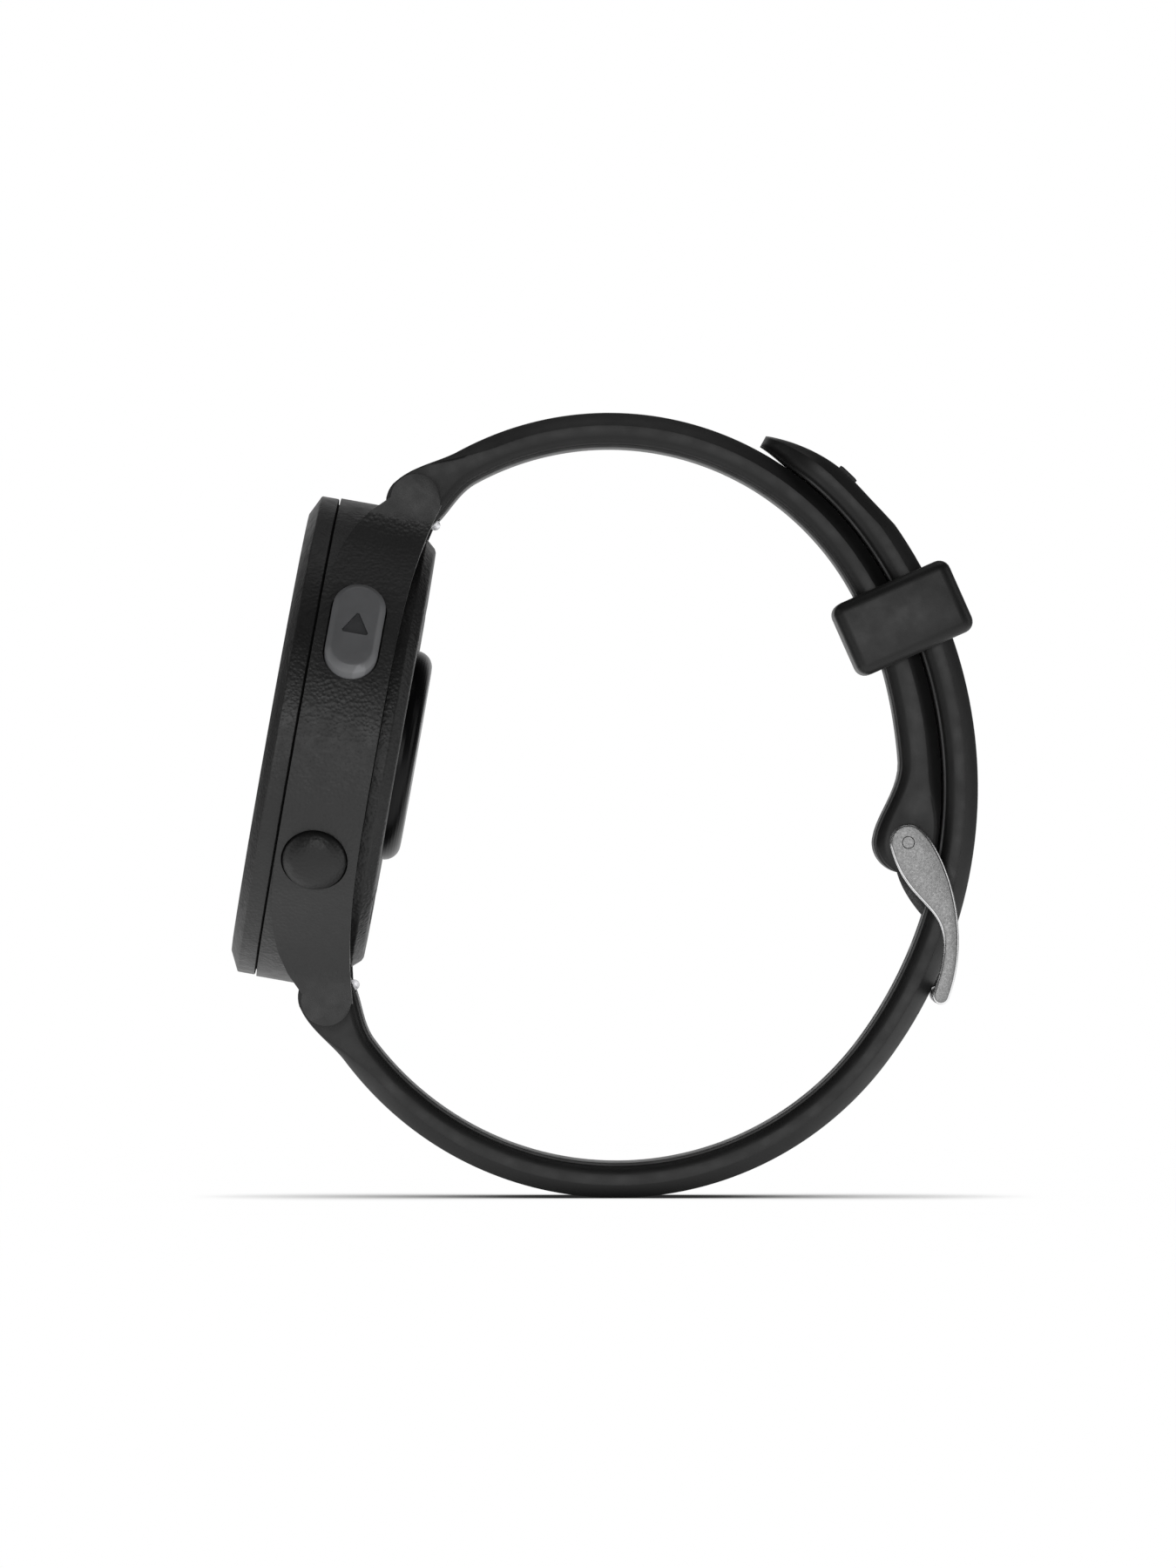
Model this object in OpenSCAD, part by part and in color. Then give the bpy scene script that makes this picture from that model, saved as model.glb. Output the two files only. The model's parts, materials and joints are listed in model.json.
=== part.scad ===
// GPS running watch, buckled: housing, five push buttons, quick-release silicone band.
// The band lies in the X-Z plane and its pins run along Y. The dial faces -X, tipped back a little.
// The origin is the middle of the wrist opening.

/* [Housing] */
// Diameter of the bezel
dial_d = 42; // [34:0.5:51]
// Width of the flat face of the bezel, from the sloping edge to the glass
bezel_flat = 2.05; // [1.2:0.05:3]
// Width of the sloping edge of the bezel
bezel_slope = 1.7; // [0.8:0.1:2.2]
// Height of the sloping edge of the bezel
bezel_slope_h = 0.83; // [0.4:0.01:1.6]
// Height of the bezel
bezel_h = 2.34; // [2:0.01:3]
// Width of the shadow line between bezel and housing
shadow_gap = 0.16; // [0.1:0.01:0.4]
// Height of the housing behind the bezel
housing_h = 7; // [6.6:0.1:9]
// Thickness of the side wall of the housing
housing_wall = 2.5; // [2.3:0.1:3.2]
// How far the textured side band stands proud of the bezel
side_proud = 0.5; // [0.3:0.05:1]
// Thickness of the back cover
cover_h = 1.9; // [1.7:0.05:2.6]
// How far the back cover is set in from the bezel diameter
cover_inset = 2.14; // [1.8:0.02:3]
// Thickness of the front glass
glass_t = 1.25; // [0.8:0.05:1.3]
// Diameter of the heart-rate sensor window
sensor_d = 18.4; // [16:0.2:21]
// How far the sensor window stands out of the back cover
sensor_h = 1.44; // [0.9:0.02:2.2]
// Distance of the bezel face from the middle of the wrist opening
case_reach = 33.28; // [28:0.1:40]
// Height of the dial centre above the middle of the wrist opening
case_rise = 6.25; // [3:0.05:9]
// How far the dial tips back
case_tilt = 10.1; // [6:0.1:14]

/* [Lugs] */
// Inner distance between the lugs
lug_gap = 18.4; // [18.3:0.05:18.8]
// Width over both lugs at their tips
lug_span = 24.4; // [23.6:0.1:27]
// Radius of the lug tips
lug_tip_r = 2.15; // [1.8:0.05:2.3]
// How far the spring bars lie outside the bezel diameter
bar_out = 0.8; // [0.6:0.05:1.6]
// Depth of the spring bars behind the bezel face
bar_depth = 8.95; // [8.6:0.05:9.4]

/* [Spring bars] */
// Outer diameter of the spring bar tube
bar_d = 1.5; // [1.3:0.05:1.8]
// Diameter of the spring bar tips
tip_d = 0.8; // [0.6:0.05:0.9]
// Depth of the tips in the lugs
tip_bite = 0.9; // [0.6:0.05:1.1]
// Travel of the quick-release lever
lever_travel = 1.2; // [1:0.05:1.5]
// Distance of the quick-release lever from the strap's edge
lever_from_edge = 3; // [2.4:0.1:4]

/* [Buttons] */
// Width of the long start button
start_w = 4.6; // [4:0.1:5]
// Length of the long start button
start_l = 8.7; // [8:0.1:10.5]
// Diameter of the round back button
back_d = 5.5; // [5:0.1:6]
// Diameter of the three round buttons on the other side
left_d = 5; // [4.4:0.1:5.8]
// How far the buttons stand out of the side band
button_proud = 1.1; // [0.7:0.05:1.5]
// Travel of the buttons
button_travel = 0.5; // [0.3:0.05:0.55]
// Angle of the corner buttons above and below the middle of the side
button_angle = 28.5; // [26:0.5:31]
// Diameter of the button stems
stem_d = 1.8; // [1.4:0.05:2]

/* [Band] */
// Width of the straps
strap_w = 18; // [17.2:0.05:18.1]
// Thickness of the straps
strap_t = 3; // [2.4:0.05:3.6]
// Bevel along the edges of the straps
strap_bevel = 0.5; // [0.2:0.05:0.7]
// Radius of the straps' round ends on the spring bars
strap_end_r = 2.5; // [2.2:0.05:2.55]
// Reach of the band from the middle of the wrist opening, at the middle of the strap
band_reach = 26.62; // [22:0.1:32]
// Length of the tail strap past the tongue, along its middle line
tail_past_tongue = 48.8; // [45:0.2:52]
// Spacing of the adjustment holes
hole_pitch = 5.1; // [4.8:0.1:6]
// Length of the adjustment holes
hole_l = 4.4; // [4.2:0.05:4.6]
// Width of the adjustment holes
hole_w = 2.8; // [2.6:0.05:3.4]

/* [Keeper and buckle] */
// Length of the keeper along the band
keeper_l = 6.7; // [4.5:0.1:7.2]
// Height of the keeper across both straps
keeper_h = 10.9; // [9.6:0.1:12]
// Position of the keeper along the band, as an angle from the horizontal
keeper_angle = 23.9; // [20:0.1:25]
// Thickness of the buckle's side arms
arm_t = 1.6; // [1.2:0.05:2.2]
// Diameter of the buckle pin
pin_d = 1.5; // [1.2:0.05:1.8]
// Diameter of the buckle's outer bar
outer_bar_d = 1.5; // [1.2:0.05:1.7]
// Width of the buckle tongue
tongue_w = 1.6; // [1.3:0.05:1.8]
// Thickness of the tongue where it passes the tail strap
tongue_t = 0.8; // [0.6:0.05:0.9]

/* [Hidden] */
$fn = 96;

// Clearances
slide_gap = 0.05;   // round pieces that turn or slide in a bore
seat_gap = 0.05;    // pieces dropped into a seat
cap_gap = 0.15;     // button caps in their pockets
soft_gap = 0.2;     // between the two strap layers
barrel_gap = 0.3;   // between a strap end and the housing
stop_gap = 0.05;    // left at the end of a travel
past = 1;           // how far a cutting solid runs past a face

// Depths behind the bezel face, in the housing's own frame
dial_r = dial_d / 2;
glass_r = dial_r - bezel_slope - bezel_flat;
ledge_r = glass_r - 1.15;
glass_x = 0.1;
seal_t = 0.2;
ledge_x = glass_x + glass_t + seal_t;
housing_x = bezel_h + shadow_gap;
cover_x = housing_x + housing_h;
back_x = cover_x + cover_h;
side_r = dial_r + side_proud;
drum_r = dial_r + 0.1;
cavity_r = drum_r - housing_wall;
spigot_h = 0.8;
frame_x = housing_x + spigot_h + seat_gap;
frame_t = 0.75;
board_t = 0.6;
button_x = housing_x + 3.4;
switch_h = 1.6;
board_x = button_x - switch_h / 2 - board_t;
antenna_t = 0.25;
shoulder_x = cover_x - 2;
cover_r = dial_r - cover_inset;
cover_pocket = 0.7;
screw_r = cover_r - 1.96;
shoulder_r = screw_r - 1.5;

// Housing details
bar_z = dial_r + bar_out;
lug_edge_drop = 3.4;
lug_rear_drop = 1.5;
lug_tip_x = bar_depth;
lug_tip_z = bar_z + 0.25;
lug_root_at = 40;

// Buttons, as angles round the dial: 0 points to +Y and 90 to twelve o'clock
start_lift = 1.4;
start_at = 180 - button_angle + start_lift;
back_at = 180 + button_angle;
light_at = button_angle;
up_at = 0;
down_at = -button_angle;
cap_h = 2;
cap_edge = 0.5;
cap_socket = 0.8;
cap_bottom = side_r + button_proud - cap_h;
pocket_floor = cap_bottom - button_travel - 0.1;
switch_r = glass_r - 1;
switch_l = 1.5;
stem_end = switch_r + button_travel + stop_gap;
clip_t = 0.4;
clip_r = stem_d / 2 + 0.5;
clip_top = cavity_r - 0.15;
groove_depth = 0.25;
o_ring_w = 0.45;
o_ring_at = cavity_r + 0.55;

// Band: middle lines of the straps as three arcs, met end to end. Angles are in the X-Z plane.
crown_start = 131;
crown_end = 35;
side_end = -36.8;
bottom_end = -154.6;
layer_pitch = strap_t + soft_gap;

function ray(a) = [cos(a), sin(a)];
function watch_point(depth, up) = [
    -case_reach + depth * cos(case_tilt) + up * sin(case_tilt),
    case_rise - depth * sin(case_tilt) + up * cos(case_tilt)
];
upper_bar = watch_point(bar_depth, bar_z);
lower_bar = watch_point(bar_depth, -bar_z);

// The radii follow from both spring bars and the reach: three linear equations in three radii
crown_way = ray(crown_end) - ray(crown_start);
side_way = ray(side_end) - ray(crown_end);
bottom_way = ray(bottom_end) - ray(side_end);
bar_way = lower_bar - upper_bar - layer_pitch * ray(crown_end);
reach_way = band_reach - upper_bar.x - layer_pitch * cos(crown_end);
crown_col = [crown_way.x, crown_way.y, crown_way.x];
side_col = [side_way.x, side_way.y, 1 - cos(crown_end)];
bottom_col = [bottom_way.x, bottom_way.y, 0];
wanted = [bar_way.x, bar_way.y, reach_way];
function det(a, b, c) = a * cross(b, c);
band_det = det(crown_col, side_col, bottom_col);
function fine(x) = round(x * 1000) / 1000;
crown_r = fine(det(wanted, side_col, bottom_col) / band_det);
side_band_r = fine(det(crown_col, wanted, bottom_col) / band_det);
bottom_r = fine(det(crown_col, side_col, wanted) / band_det);
crown_mid = upper_bar - crown_r * ray(crown_start);
side_mid = crown_mid + (crown_r + layer_pitch - side_band_r) * ray(crown_end);
bottom_mid = side_mid + (side_band_r - bottom_r) * ray(side_end);
tail_crown_r = crown_r + layer_pitch;
inner_side_r = side_band_r - layer_pitch;

// A point at an angle on the side arc, and a distance outside the tail strap's middle line
function on_side(a, out) = side_mid + (side_band_r + out) * ray(a);
function on_crown(a, out) = crown_mid + (crown_r + out) * ray(a);
function on_bottom(a, out) = bottom_mid + (bottom_r + out) * ray(a);
function degrees(length, r) = length / r * 180 / PI;

// Buckle, keeper and tail positions
tongue_hole_at = -18.2;
pin_at = on_side(-8, -layer_pitch - 1.05);
lobe_at = on_side(-8.2, -layer_pitch - 1.4);
lobe_r = 2.6;
bar_angle = -26.3;
bar_lift = 0.2;
bar_at = on_side(bar_angle, strap_t / 2 + outer_bar_d / 2 + bar_lift);
tongue_slot = tongue_w + 0.6;
side_past_tongue = (crown_end - tongue_hole_at) * PI / 180 * side_band_r;
tip_angle = crown_end + degrees(tail_past_tongue - side_past_tongue, tail_crown_r);
tip_slope_from = tip_angle - 12.5;
tip_corner_r = 6;
ridge_h = 0.25;
ridge_l = 1.9;
ridge_angle = tip_angle - 15.1;
keeper_inner = inner_side_r - strap_t / 2 - 0.85;
keeper_outer = side_band_r + strap_t / 2 + 0.25;
keeper_mid_r = (keeper_inner + keeper_outer) / 2;
keeper_side_gap = 0.3;
keeper_side_t = 1.6;
arm_gap = 0.35;

// Placing helpers
module in_watch() {
    translate([-case_reach, 0, case_rise]) rotate([0, case_tilt, 0]) children();
}

module disc(x0, x1, r) {
    translate([x0, 0, 0]) rotate([0, 90, 0]) cylinder(h = x1 - x0, r = r);
}

module ring(x0, x1, r_out, r_in) {
    difference() {
        disc(x0, x1, r_out);
        disc(x0 - past, x1 + past, r_in);
    }
}

// Points are [radius, depth behind the bezel face]
module turned(points) {
    rotate([0, 90, 0]) rotate_extrude() polygon(points);
}

// Stands children up along a radius at the buttons' depth: their Z points outward, their X to the back
module at_button(angle) {
    translate([button_x, 0, 0]) rotate([angle - 90, 0, 0]) children();
}

// Draws a flat outline in the X-Z plane and gives it a width along Y
module across(width) {
    rotate([90, 0, 0]) linear_extrude(height = width, center = true) children();
}

module rod(at, y0, y1, r) {
    translate([at.x, y1, at.y]) rotate([90, 0, 0]) cylinder(h = y1 - y0, r = r);
}

function arc(centre, r, a0, a1, steps) = [
    for (i = [0 : steps]) centre + r * ray(a0 + (a1 - a0) * i / steps)
];

function bezier(p, t) =
    pow(1 - t, 3) * p[0] + 3 * t * pow(1 - t, 2) * p[1] + 3 * t * t * (1 - t) * p[2] + pow(t, 3) * p[3];
function bezier_way(p, t) =
    3 * pow(1 - t, 2) * (p[1] - p[0]) + 6 * t * (1 - t) * (p[2] - p[1]) + 3 * t * t * (p[3] - p[2]);
function left_of(v) = [-v.y, v.x] / norm(v);

// A bar that follows a curve and tapers from one half width to the other
function tapered(p, w0, w1, bend, steps) = concat(
    [for (i = [0 : steps]) bezier(p, i / steps)
        + left_of(bezier_way(p, i / steps)) * (w0 + (w1 - w0) * pow(i / steps, bend))],
    [for (i = [steps : -1 : 0]) bezier(p, i / steps)
        - left_of(bezier_way(p, i / steps)) * (w0 + (w1 - w0) * pow(i / steps, bend))]
);

// ---- Housing ----
function front_edge(z) = housing_x + lug_edge_drop * pow(abs(z) / dial_r, 6);
function rear_edge(z) = cover_x + lug_rear_drop * pow(abs(z) / dial_r, 4);

module lug_profile() {
    end = bar_z + 0.1;
    steps = 14;
    polygon(concat(
        [for (i = [-steps : steps]) [front_edge(end * i / steps), end * i / steps]],
        [for (i = [steps : -1 : -steps]) [rear_edge(end * i / steps), end * i / steps]]
    ));
    for (side = [-1, 1]) translate([lug_tip_x, side * lug_tip_z]) circle(r = lug_tip_r);
}

// Each lug's flank leaves the round side along its tangent and turns to run straight to the tip
module lug_plan() {
    half = lug_span / 2;
    root = side_r * ray(lug_root_at);
    flank = [root, root + 4 * ray(lug_root_at + 90), [half, bar_z - 3.4], [half, bar_z - 0.8]];
    steps = 8;
    circle(r = side_r);
    for (side = [-1, 1]) polygon(concat(
        [for (i = [0 : steps]) [bezier(flank, i / steps).x, side * bezier(flank, i / steps).y]],
        [[half, side * (bar_z + 3)], [-half, side * (bar_z + 3)]],
        [for (i = [steps : -1 : 0]) [-bezier(flank, i / steps).x, side * bezier(flank, i / steps).y]]
    ));
}

module side_band() {
    difference() {
        intersection() {
            across(2 * side_r) lug_profile();
            rotate([90, 0, 90]) linear_extrude(height = back_x + past) lug_plan();
        }
        for (side = [-1, 1]) translate([0, -lug_gap / 2, side * bar_z - 3.2])
            cube([back_x + past, lug_gap, 6.4]);
    }
}

module housing_shell() {
    difference() {
        union() {
            disc(housing_x, cover_x, drum_r);
            side_band();
        }
        disc(housing_x - past, shoulder_x, cavity_r);
        disc(0, back_x + past, shoulder_r);
        disc(cover_x, back_x + past, cover_r + seat_gap);
    }
}

module pill(w, l, h, edge) {
    reach = (l - w) / 2;
    for (side = [-1, 1]) translate([0, side * reach, 0]) {
        cylinder(h = h - edge, d = w);
        translate([0, 0, h - edge]) cylinder(h = edge, d1 = w, d2 = w - 2 * edge);
    }
    if (reach > 0) rotate([90, 0, 0]) linear_extrude(height = 2 * reach, center = true) polygon([
        [-w / 2, 0], [w / 2, 0], [w / 2, h - edge], [w / 2 - edge, h], [edge - w / 2, h], [-w / 2, h - edge]
    ]);
}

module button_cut(angle, w, l) {
    at_button(angle) {
        translate([0, 0, pocket_floor]) pill(w + 2 * cap_gap, l + 2 * cap_gap, cap_h + past, 0.01);
        translate([0, 0, cavity_r - past]) cylinder(h = 3 * past + 2, d = stem_d + 2 * slide_gap);
    }
}

module bar_cut(side) {
    tip_len = lug_gap + 2 * tip_bite + 0.4;
    translate([bar_depth, 0, side * bar_z]) rotate([90, 0, 0]) {
        cylinder(h = tip_len, d = tip_d + 2 * slide_gap, center = true);
        cylinder(h = lug_gap, r = strap_end_r + barrel_gap, center = true);
    }
}

module screw_places() {
    for (i = [0 : 3]) rotate([45 + 90 * i, 0, 0]) translate([0, screw_r, 0]) children();
}

module case_body() {
    color([0.13, 0.13, 0.135]) in_watch() difference() {
        housing_shell();
        for (side = [-1, 1]) bar_cut(side);
        button_cut(start_at, start_w, start_l);
        button_cut(back_at, back_d, back_d);
        for (angle = [light_at, up_at, down_at]) button_cut(angle, left_d, left_d);
        ring(cover_x - 0.4, cover_x + past, cover_r - 0.5, cover_r - 1.1);
        screw_places() disc(shoulder_x + 0.2, cover_x + past, 0.52);
    }
}

module bezel() {
    lip = dial_r - 0.5;
    spigot_x = housing_x + spigot_h;
    color([0.17, 0.17, 0.175]) in_watch() turned([
        [glass_r, 0], [dial_r - bezel_slope, 0], [dial_r, bezel_slope_h], [dial_r, bezel_h],
        [lip, bezel_h], [lip, housing_x], [cavity_r - seat_gap, housing_x],
        [cavity_r - seat_gap, spigot_x], [ledge_r, spigot_x], [ledge_r, ledge_x], [glass_r, ledge_x]
    ]);
}

module front_glass() {
    color([0.05, 0.06, 0.08]) in_watch() disc(glass_x, glass_x + glass_t, glass_r - seat_gap);
}

module glass_seal() {
    color([0.1, 0.1, 0.1]) in_watch()
        ring(glass_x + glass_t, ledge_x, glass_r - seat_gap, ledge_r + seat_gap);
}

module display_module() {
    color([0.02, 0.02, 0.03]) in_watch()
        disc(glass_x + glass_t, frame_x, ledge_r - seat_gap);
}

module mid_frame() {
    color([0.35, 0.35, 0.37]) in_watch() {
        difference() {
            disc(frame_x, frame_x + frame_t, cavity_r - 0.2);
            for (side = [-1, 1]) translate([frame_x + frame_t / 2, side * 9, 0])
                cube([frame_t + past, 3.2, 9], center = true);
        }
        for (i = [0 : 2]) rotate([120 * i + 90, 0, 0]) translate([0, switch_r - 3, 0])
            disc(frame_x + frame_t / 2, board_x, 1.2);
    }
}

module gnss_antenna() {
    color([0.8, 0.62, 0.3]) in_watch()
        ring(frame_x + frame_t, frame_x + frame_t + antenna_t, cavity_r - 0.2, cavity_r - 1.4);
}

module main_board() {
    color([0.08, 0.3, 0.18]) in_watch() disc(board_x, board_x + board_t, switch_r - 0.3);
}

module board_box(y, z, width, height, deep) {
    translate([board_x + board_t, y - width / 2, z - height / 2]) cube([deep, width, height]);
}

module shield_cans() {
    color([0.75, 0.75, 0.77]) in_watch() {
        board_box(-4.6, 5, 7.6, 8, 1.1);
        board_box(4.6, 4, 7, 6, 1.1);
        board_box(0, -5, 12, 7, 1.1);
    }
}

module switch_body(angle) {
    nub_h = 0.3;
    at_button(angle) {
        translate([-switch_h / 2, -1.7, switch_r - nub_h - switch_l]) cube([switch_h, 3.4, switch_l]);
        translate([0, 0, switch_r - nub_h]) cylinder(h = nub_h, d = 1.1);
    }
}

module side_switches() {
    color([0.85, 0.85, 0.86]) in_watch()
        for (angle = [start_at, back_at, light_at, up_at, down_at]) switch_body(angle);
}

battery_x = board_x + board_t + 1.3;

module battery() {
    color([0.72, 0.74, 0.78]) in_watch()
        translate([battery_x, -9.5, -10.5]) cube([cover_x - 0.2 - battery_x, 19, 21]);
}

module vibration_motor() {
    color([0.7, 0.7, 0.72]) in_watch()
        translate([battery_x + 1.5, 0, 12.4]) rotate([90, 0, 0]) cylinder(h = 8, r = 1.5, center = true);
}

module piezo_disc() {
    color([0.85, 0.7, 0.35]) in_watch()
        translate([0, 0, sensor_d / 2 + 3]) disc(cover_x + 0.2, cover_x + cover_pocket, 2);
}

module back_seal() {
    color([0.08, 0.08, 0.08]) in_watch()
        ring(cover_x - 0.38, cover_x, cover_r - 0.55, cover_r - 1.05);
}

socket_z = -13.4;
socket_w = 7.8;
socket_h = 3.1;

module back_cover() {
    pocket_r = shoulder_r - 0.9;
    hole_r = sensor_d / 2 + 0.1;
    flange_r = hole_r + 0.7;
    flange_x = cover_x + cover_pocket + 0.5;
    color([0.15, 0.15, 0.155]) in_watch() difference() {
        turned([
            [pocket_r, cover_x], [cover_r, cover_x], [cover_r, cover_x + 1], [cover_r - 0.66, back_x - 0.15],
            [cover_r - 0.96, back_x], [hole_r, back_x], [hole_r, flange_x], [flange_r, flange_x],
            [flange_r, cover_x + cover_pocket], [pocket_r, cover_x + cover_pocket]
        ]);
        screw_places() {
            disc(cover_x - past, back_x + past, 0.55);
            disc(back_x - 0.6, back_x + past, 1.05);
        }
        translate([cover_x, -socket_w / 2, socket_z - socket_h / 2])
            cube([cover_h + past, socket_w, socket_h]);
    }
}

module back_cover_screws() {
    color([0.6, 0.6, 0.62]) in_watch() screw_places() difference() {
        union() {
            disc(shoulder_x + 0.4, back_x - 0.5, 0.5);
            disc(back_x - 0.6, back_x - 0.1, 0.95);
        }
        translate([back_x - 0.4, 0, 0]) rotate([0, 90, 0]) cylinder(h = past, r = 0.45, $fn = 6);
    }
}

window_x = back_x + sensor_h;
window_t = 0.9;
window_round = 1.4;

module sensor_lens() {
    r = sensor_d / 2;
    flange_x = cover_x + cover_pocket;
    inner_r = r - 1;
    color([0.03, 0.03, 0.035]) in_watch() turned(concat(
        [[0, window_x - window_t], [inner_r, window_x - window_t], [inner_r, flange_x]],
        [[r + 0.7, flange_x], [r + 0.7, flange_x + 0.45], [r, flange_x + 0.45]],
        arc([r - window_round, window_x - window_round], window_round, 0, 90, 8),
        [[0, window_x]]
    ));
}

module sensor_ring() {
    r = sensor_d / 2 - 1 - seat_gap;
    color([0.55, 0.56, 0.58]) in_watch()
        ring(window_x - window_t - 0.6, window_x - window_t, r, r - 1.1);
}

module sensor_board() {
    color([0.1, 0.25, 0.16]) in_watch()
        disc(cover_x + cover_pocket, cover_x + cover_pocket + 0.5, sensor_d / 2 - 1 - seat_gap);
}

module sensor_leds() {
    led_x = cover_x + cover_pocket + 0.5;
    color([0.5, 0.8, 0.45]) in_watch() {
        for (i = [0 : 3]) rotate([90 * i, 0, 0]) translate([led_x, 3.4, -0.8]) cube([0.5, 1.4, 1.6]);
        translate([led_x, -1.5, -1.5]) cube([0.5, 3, 3]);
    }
}

module charge_socket() {
    color([0.2, 0.2, 0.21]) in_watch() difference() {
        translate([cover_x + cover_pocket, seat_gap - socket_w / 2, socket_z + seat_gap - socket_h / 2])
            cube([0.7, socket_w - 2 * seat_gap, socket_h - 2 * seat_gap]);
        for (i = [-1.5 : 1.5]) translate([0, 1.7 * i, socket_z]) disc(cover_x, back_x, 0.45);
    }
}

module charge_contacts() {
    color([0.85, 0.7, 0.35]) in_watch()
        for (i = [-1.5 : 1.5]) translate([0, 1.7 * i, socket_z])
            disc(cover_x + cover_pocket - 0.3, cover_x + cover_pocket + 0.85, 0.44);
}

// ---- Buttons ----
module button_cap(angle, w, l) {
    in_watch() at_button(angle) difference() {
        translate([0, 0, cap_bottom]) pill(w, l, cap_h, cap_edge);
        translate([0, 0, cap_bottom - past]) cylinder(h = cap_socket + past, d = stem_d + 0.04);
    }
}

// The start mark is a shallow triangle cut in the cap
module start_mark() {
    depth = 0.15;
    size = 1.1;
    in_watch() at_button(start_at)
        translate([0, 0, cap_bottom + cap_h - depth]) cylinder(h = depth + past, r = size, $fn = 3);
}

module button_stem(angle) {
    r = stem_d / 2;
    color([0.62, 0.62, 0.64]) in_watch() at_button(angle) rotate_extrude() polygon([
        [0, stem_end], [r, stem_end], [r, clip_top - clip_t], [r - groove_depth, clip_top - clip_t],
        [r - groove_depth, clip_top], [r, clip_top], [r, o_ring_at], [r - groove_depth, o_ring_at],
        [r - groove_depth, o_ring_at + o_ring_w], [r, o_ring_at + o_ring_w],
        [r, cap_bottom + cap_socket], [0, cap_bottom + cap_socket]
    ]);
}

module collar(angle, r_out, from, height) {
    in_watch() at_button(angle) translate([0, 0, from]) difference() {
        cylinder(h = height, r = r_out);
        translate([0, 0, -past]) cylinder(h = height + 2 * past, r = stem_d / 2 - groove_depth + 0.01);
    }
}

module button_o_ring(angle) {
    color([0.1, 0.1, 0.1]) collar(angle, stem_d / 2 + 0.03, o_ring_at + 0.01, o_ring_w - 0.02);
}

module button_clip(angle) {
    color([0.7, 0.7, 0.72]) collar(angle, clip_r, clip_top - clip_t + 0.01, clip_t - 0.02);
}

module start_cap() {
    color([0.42, 0.42, 0.43]) difference() {
        button_cap(start_at, start_w, start_l);
        start_mark();
    }
}
module start_stem() { button_stem(start_at); }
module start_o_ring() { button_o_ring(start_at); }
module start_clip() { button_clip(start_at); }

module back_cap() { color([0.14, 0.14, 0.145]) button_cap(back_at, back_d, back_d); }
module back_stem() { button_stem(back_at); }
module back_o_ring() { button_o_ring(back_at); }
module back_clip() { button_clip(back_at); }

module light_cap() { color([0.14, 0.14, 0.145]) button_cap(light_at, left_d, left_d); }
module light_stem() { button_stem(light_at); }
module light_o_ring() { button_o_ring(light_at); }
module light_clip() { button_clip(light_at); }

module up_cap() { color([0.14, 0.14, 0.145]) button_cap(up_at, left_d, left_d); }
module up_stem() { button_stem(up_at); }
module up_o_ring() { button_o_ring(up_at); }
module up_clip() { button_clip(up_at); }

module down_cap() { color([0.14, 0.14, 0.145]) button_cap(down_at, left_d, left_d); }
module down_stem() { button_stem(down_at); }
module down_o_ring() { button_o_ring(down_at); }
module down_clip() { button_clip(down_at); }

// ---- Spring bars ----
tube_half = lug_gap / 2 - 0.5;
tube_bore = bar_d / 2 - 0.2;
tip_end = lug_gap / 2 + tip_bite;
plug_l = 3;
lever_y = lever_from_edge - strap_w / 2;
release_in = lever_y + lever_travel + 1.2;
lever_r = 0.35;
lever_reach = strap_end_r + 0.1;

module bar_tube(at, inward) {
    slot_l = 2 * lever_r + lever_travel + 0.4;
    color([0.66, 0.66, 0.68]) difference() {
        rod(at, -tube_half, tube_half, bar_d / 2);
        rod(at, -tube_half - past, tube_half - 1.2, tube_bore);
        rod(at, tube_half - 1.2 - past, tube_half + past, tip_d / 2 + 0.02);
        translate([at.x, lever_y - lever_r - 0.2 + slot_l / 2, at.y]) rotate([0, -inward, 0])
            translate([bar_d / 2, 0, 0]) cube([bar_d, slot_l, 2 * lever_r + 0.1], center = true);
    }
}

module bar_tip(at) {
    color([0.7, 0.7, 0.72]) {
        rod(at, tube_half - 1.2 - plug_l, tube_half - 1.2, tube_bore - 0.02);
        rod(at, tube_half - 1.2, tip_end, tip_d / 2);
    }
}

module release_pin(at, inward) {
    knob_r = 0.45;
    color([0.74, 0.74, 0.76]) {
        rod(at, -tube_half, release_in - lever_travel, tube_bore - 0.03);
        rod(at, -tip_end, -tube_half, tip_d / 2);
        translate([at.x, lever_y, at.y]) rotate([0, -inward, 0]) rotate([0, 90, 0])
            cylinder(h = lever_reach, r = lever_r);
        rod(at + lever_reach * ray(inward), lever_y - 0.9, lever_y + 0.9, knob_r);
    }
}

module bar_spring(at) {
    from = release_in - lever_travel + 0.02;
    to = tube_half - 1.2 - plug_l - 0.02;
    coils = 12;
    pitch = (to - from) / coils;
    r = tube_bore - 0.05;
    color([0.8, 0.8, 0.82]) difference() {
        union() {
            rod(at, from, to, r - 0.1);
            for (i = [0 : coils - 1]) rod(at, from + i * pitch, from + (i + 0.6) * pitch, r);
        }
        rod(at, from - past, to + past, r - 0.22);
    }
}

upper_inward = crown_start + 180;
lower_inward = bottom_end + 180;

module upper_bar_tube() { bar_tube(upper_bar, upper_inward); }
module upper_bar_tip() { bar_tip(upper_bar); }
module upper_release() { release_pin(upper_bar, upper_inward); }
module upper_spring() { bar_spring(upper_bar); }
module lower_bar_tube() { bar_tube(lower_bar, lower_inward); }
module lower_bar_tip() { bar_tip(lower_bar); }
module lower_release() { release_pin(lower_bar, lower_inward); }
module lower_spring() { bar_spring(lower_bar); }

// ---- Straps ----
// The crown and bottom arcs are a hair thinner and reach into the side arc, so the three join as one piece
joint_inset = 0.01;
joint_lap = 0.4;

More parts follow.
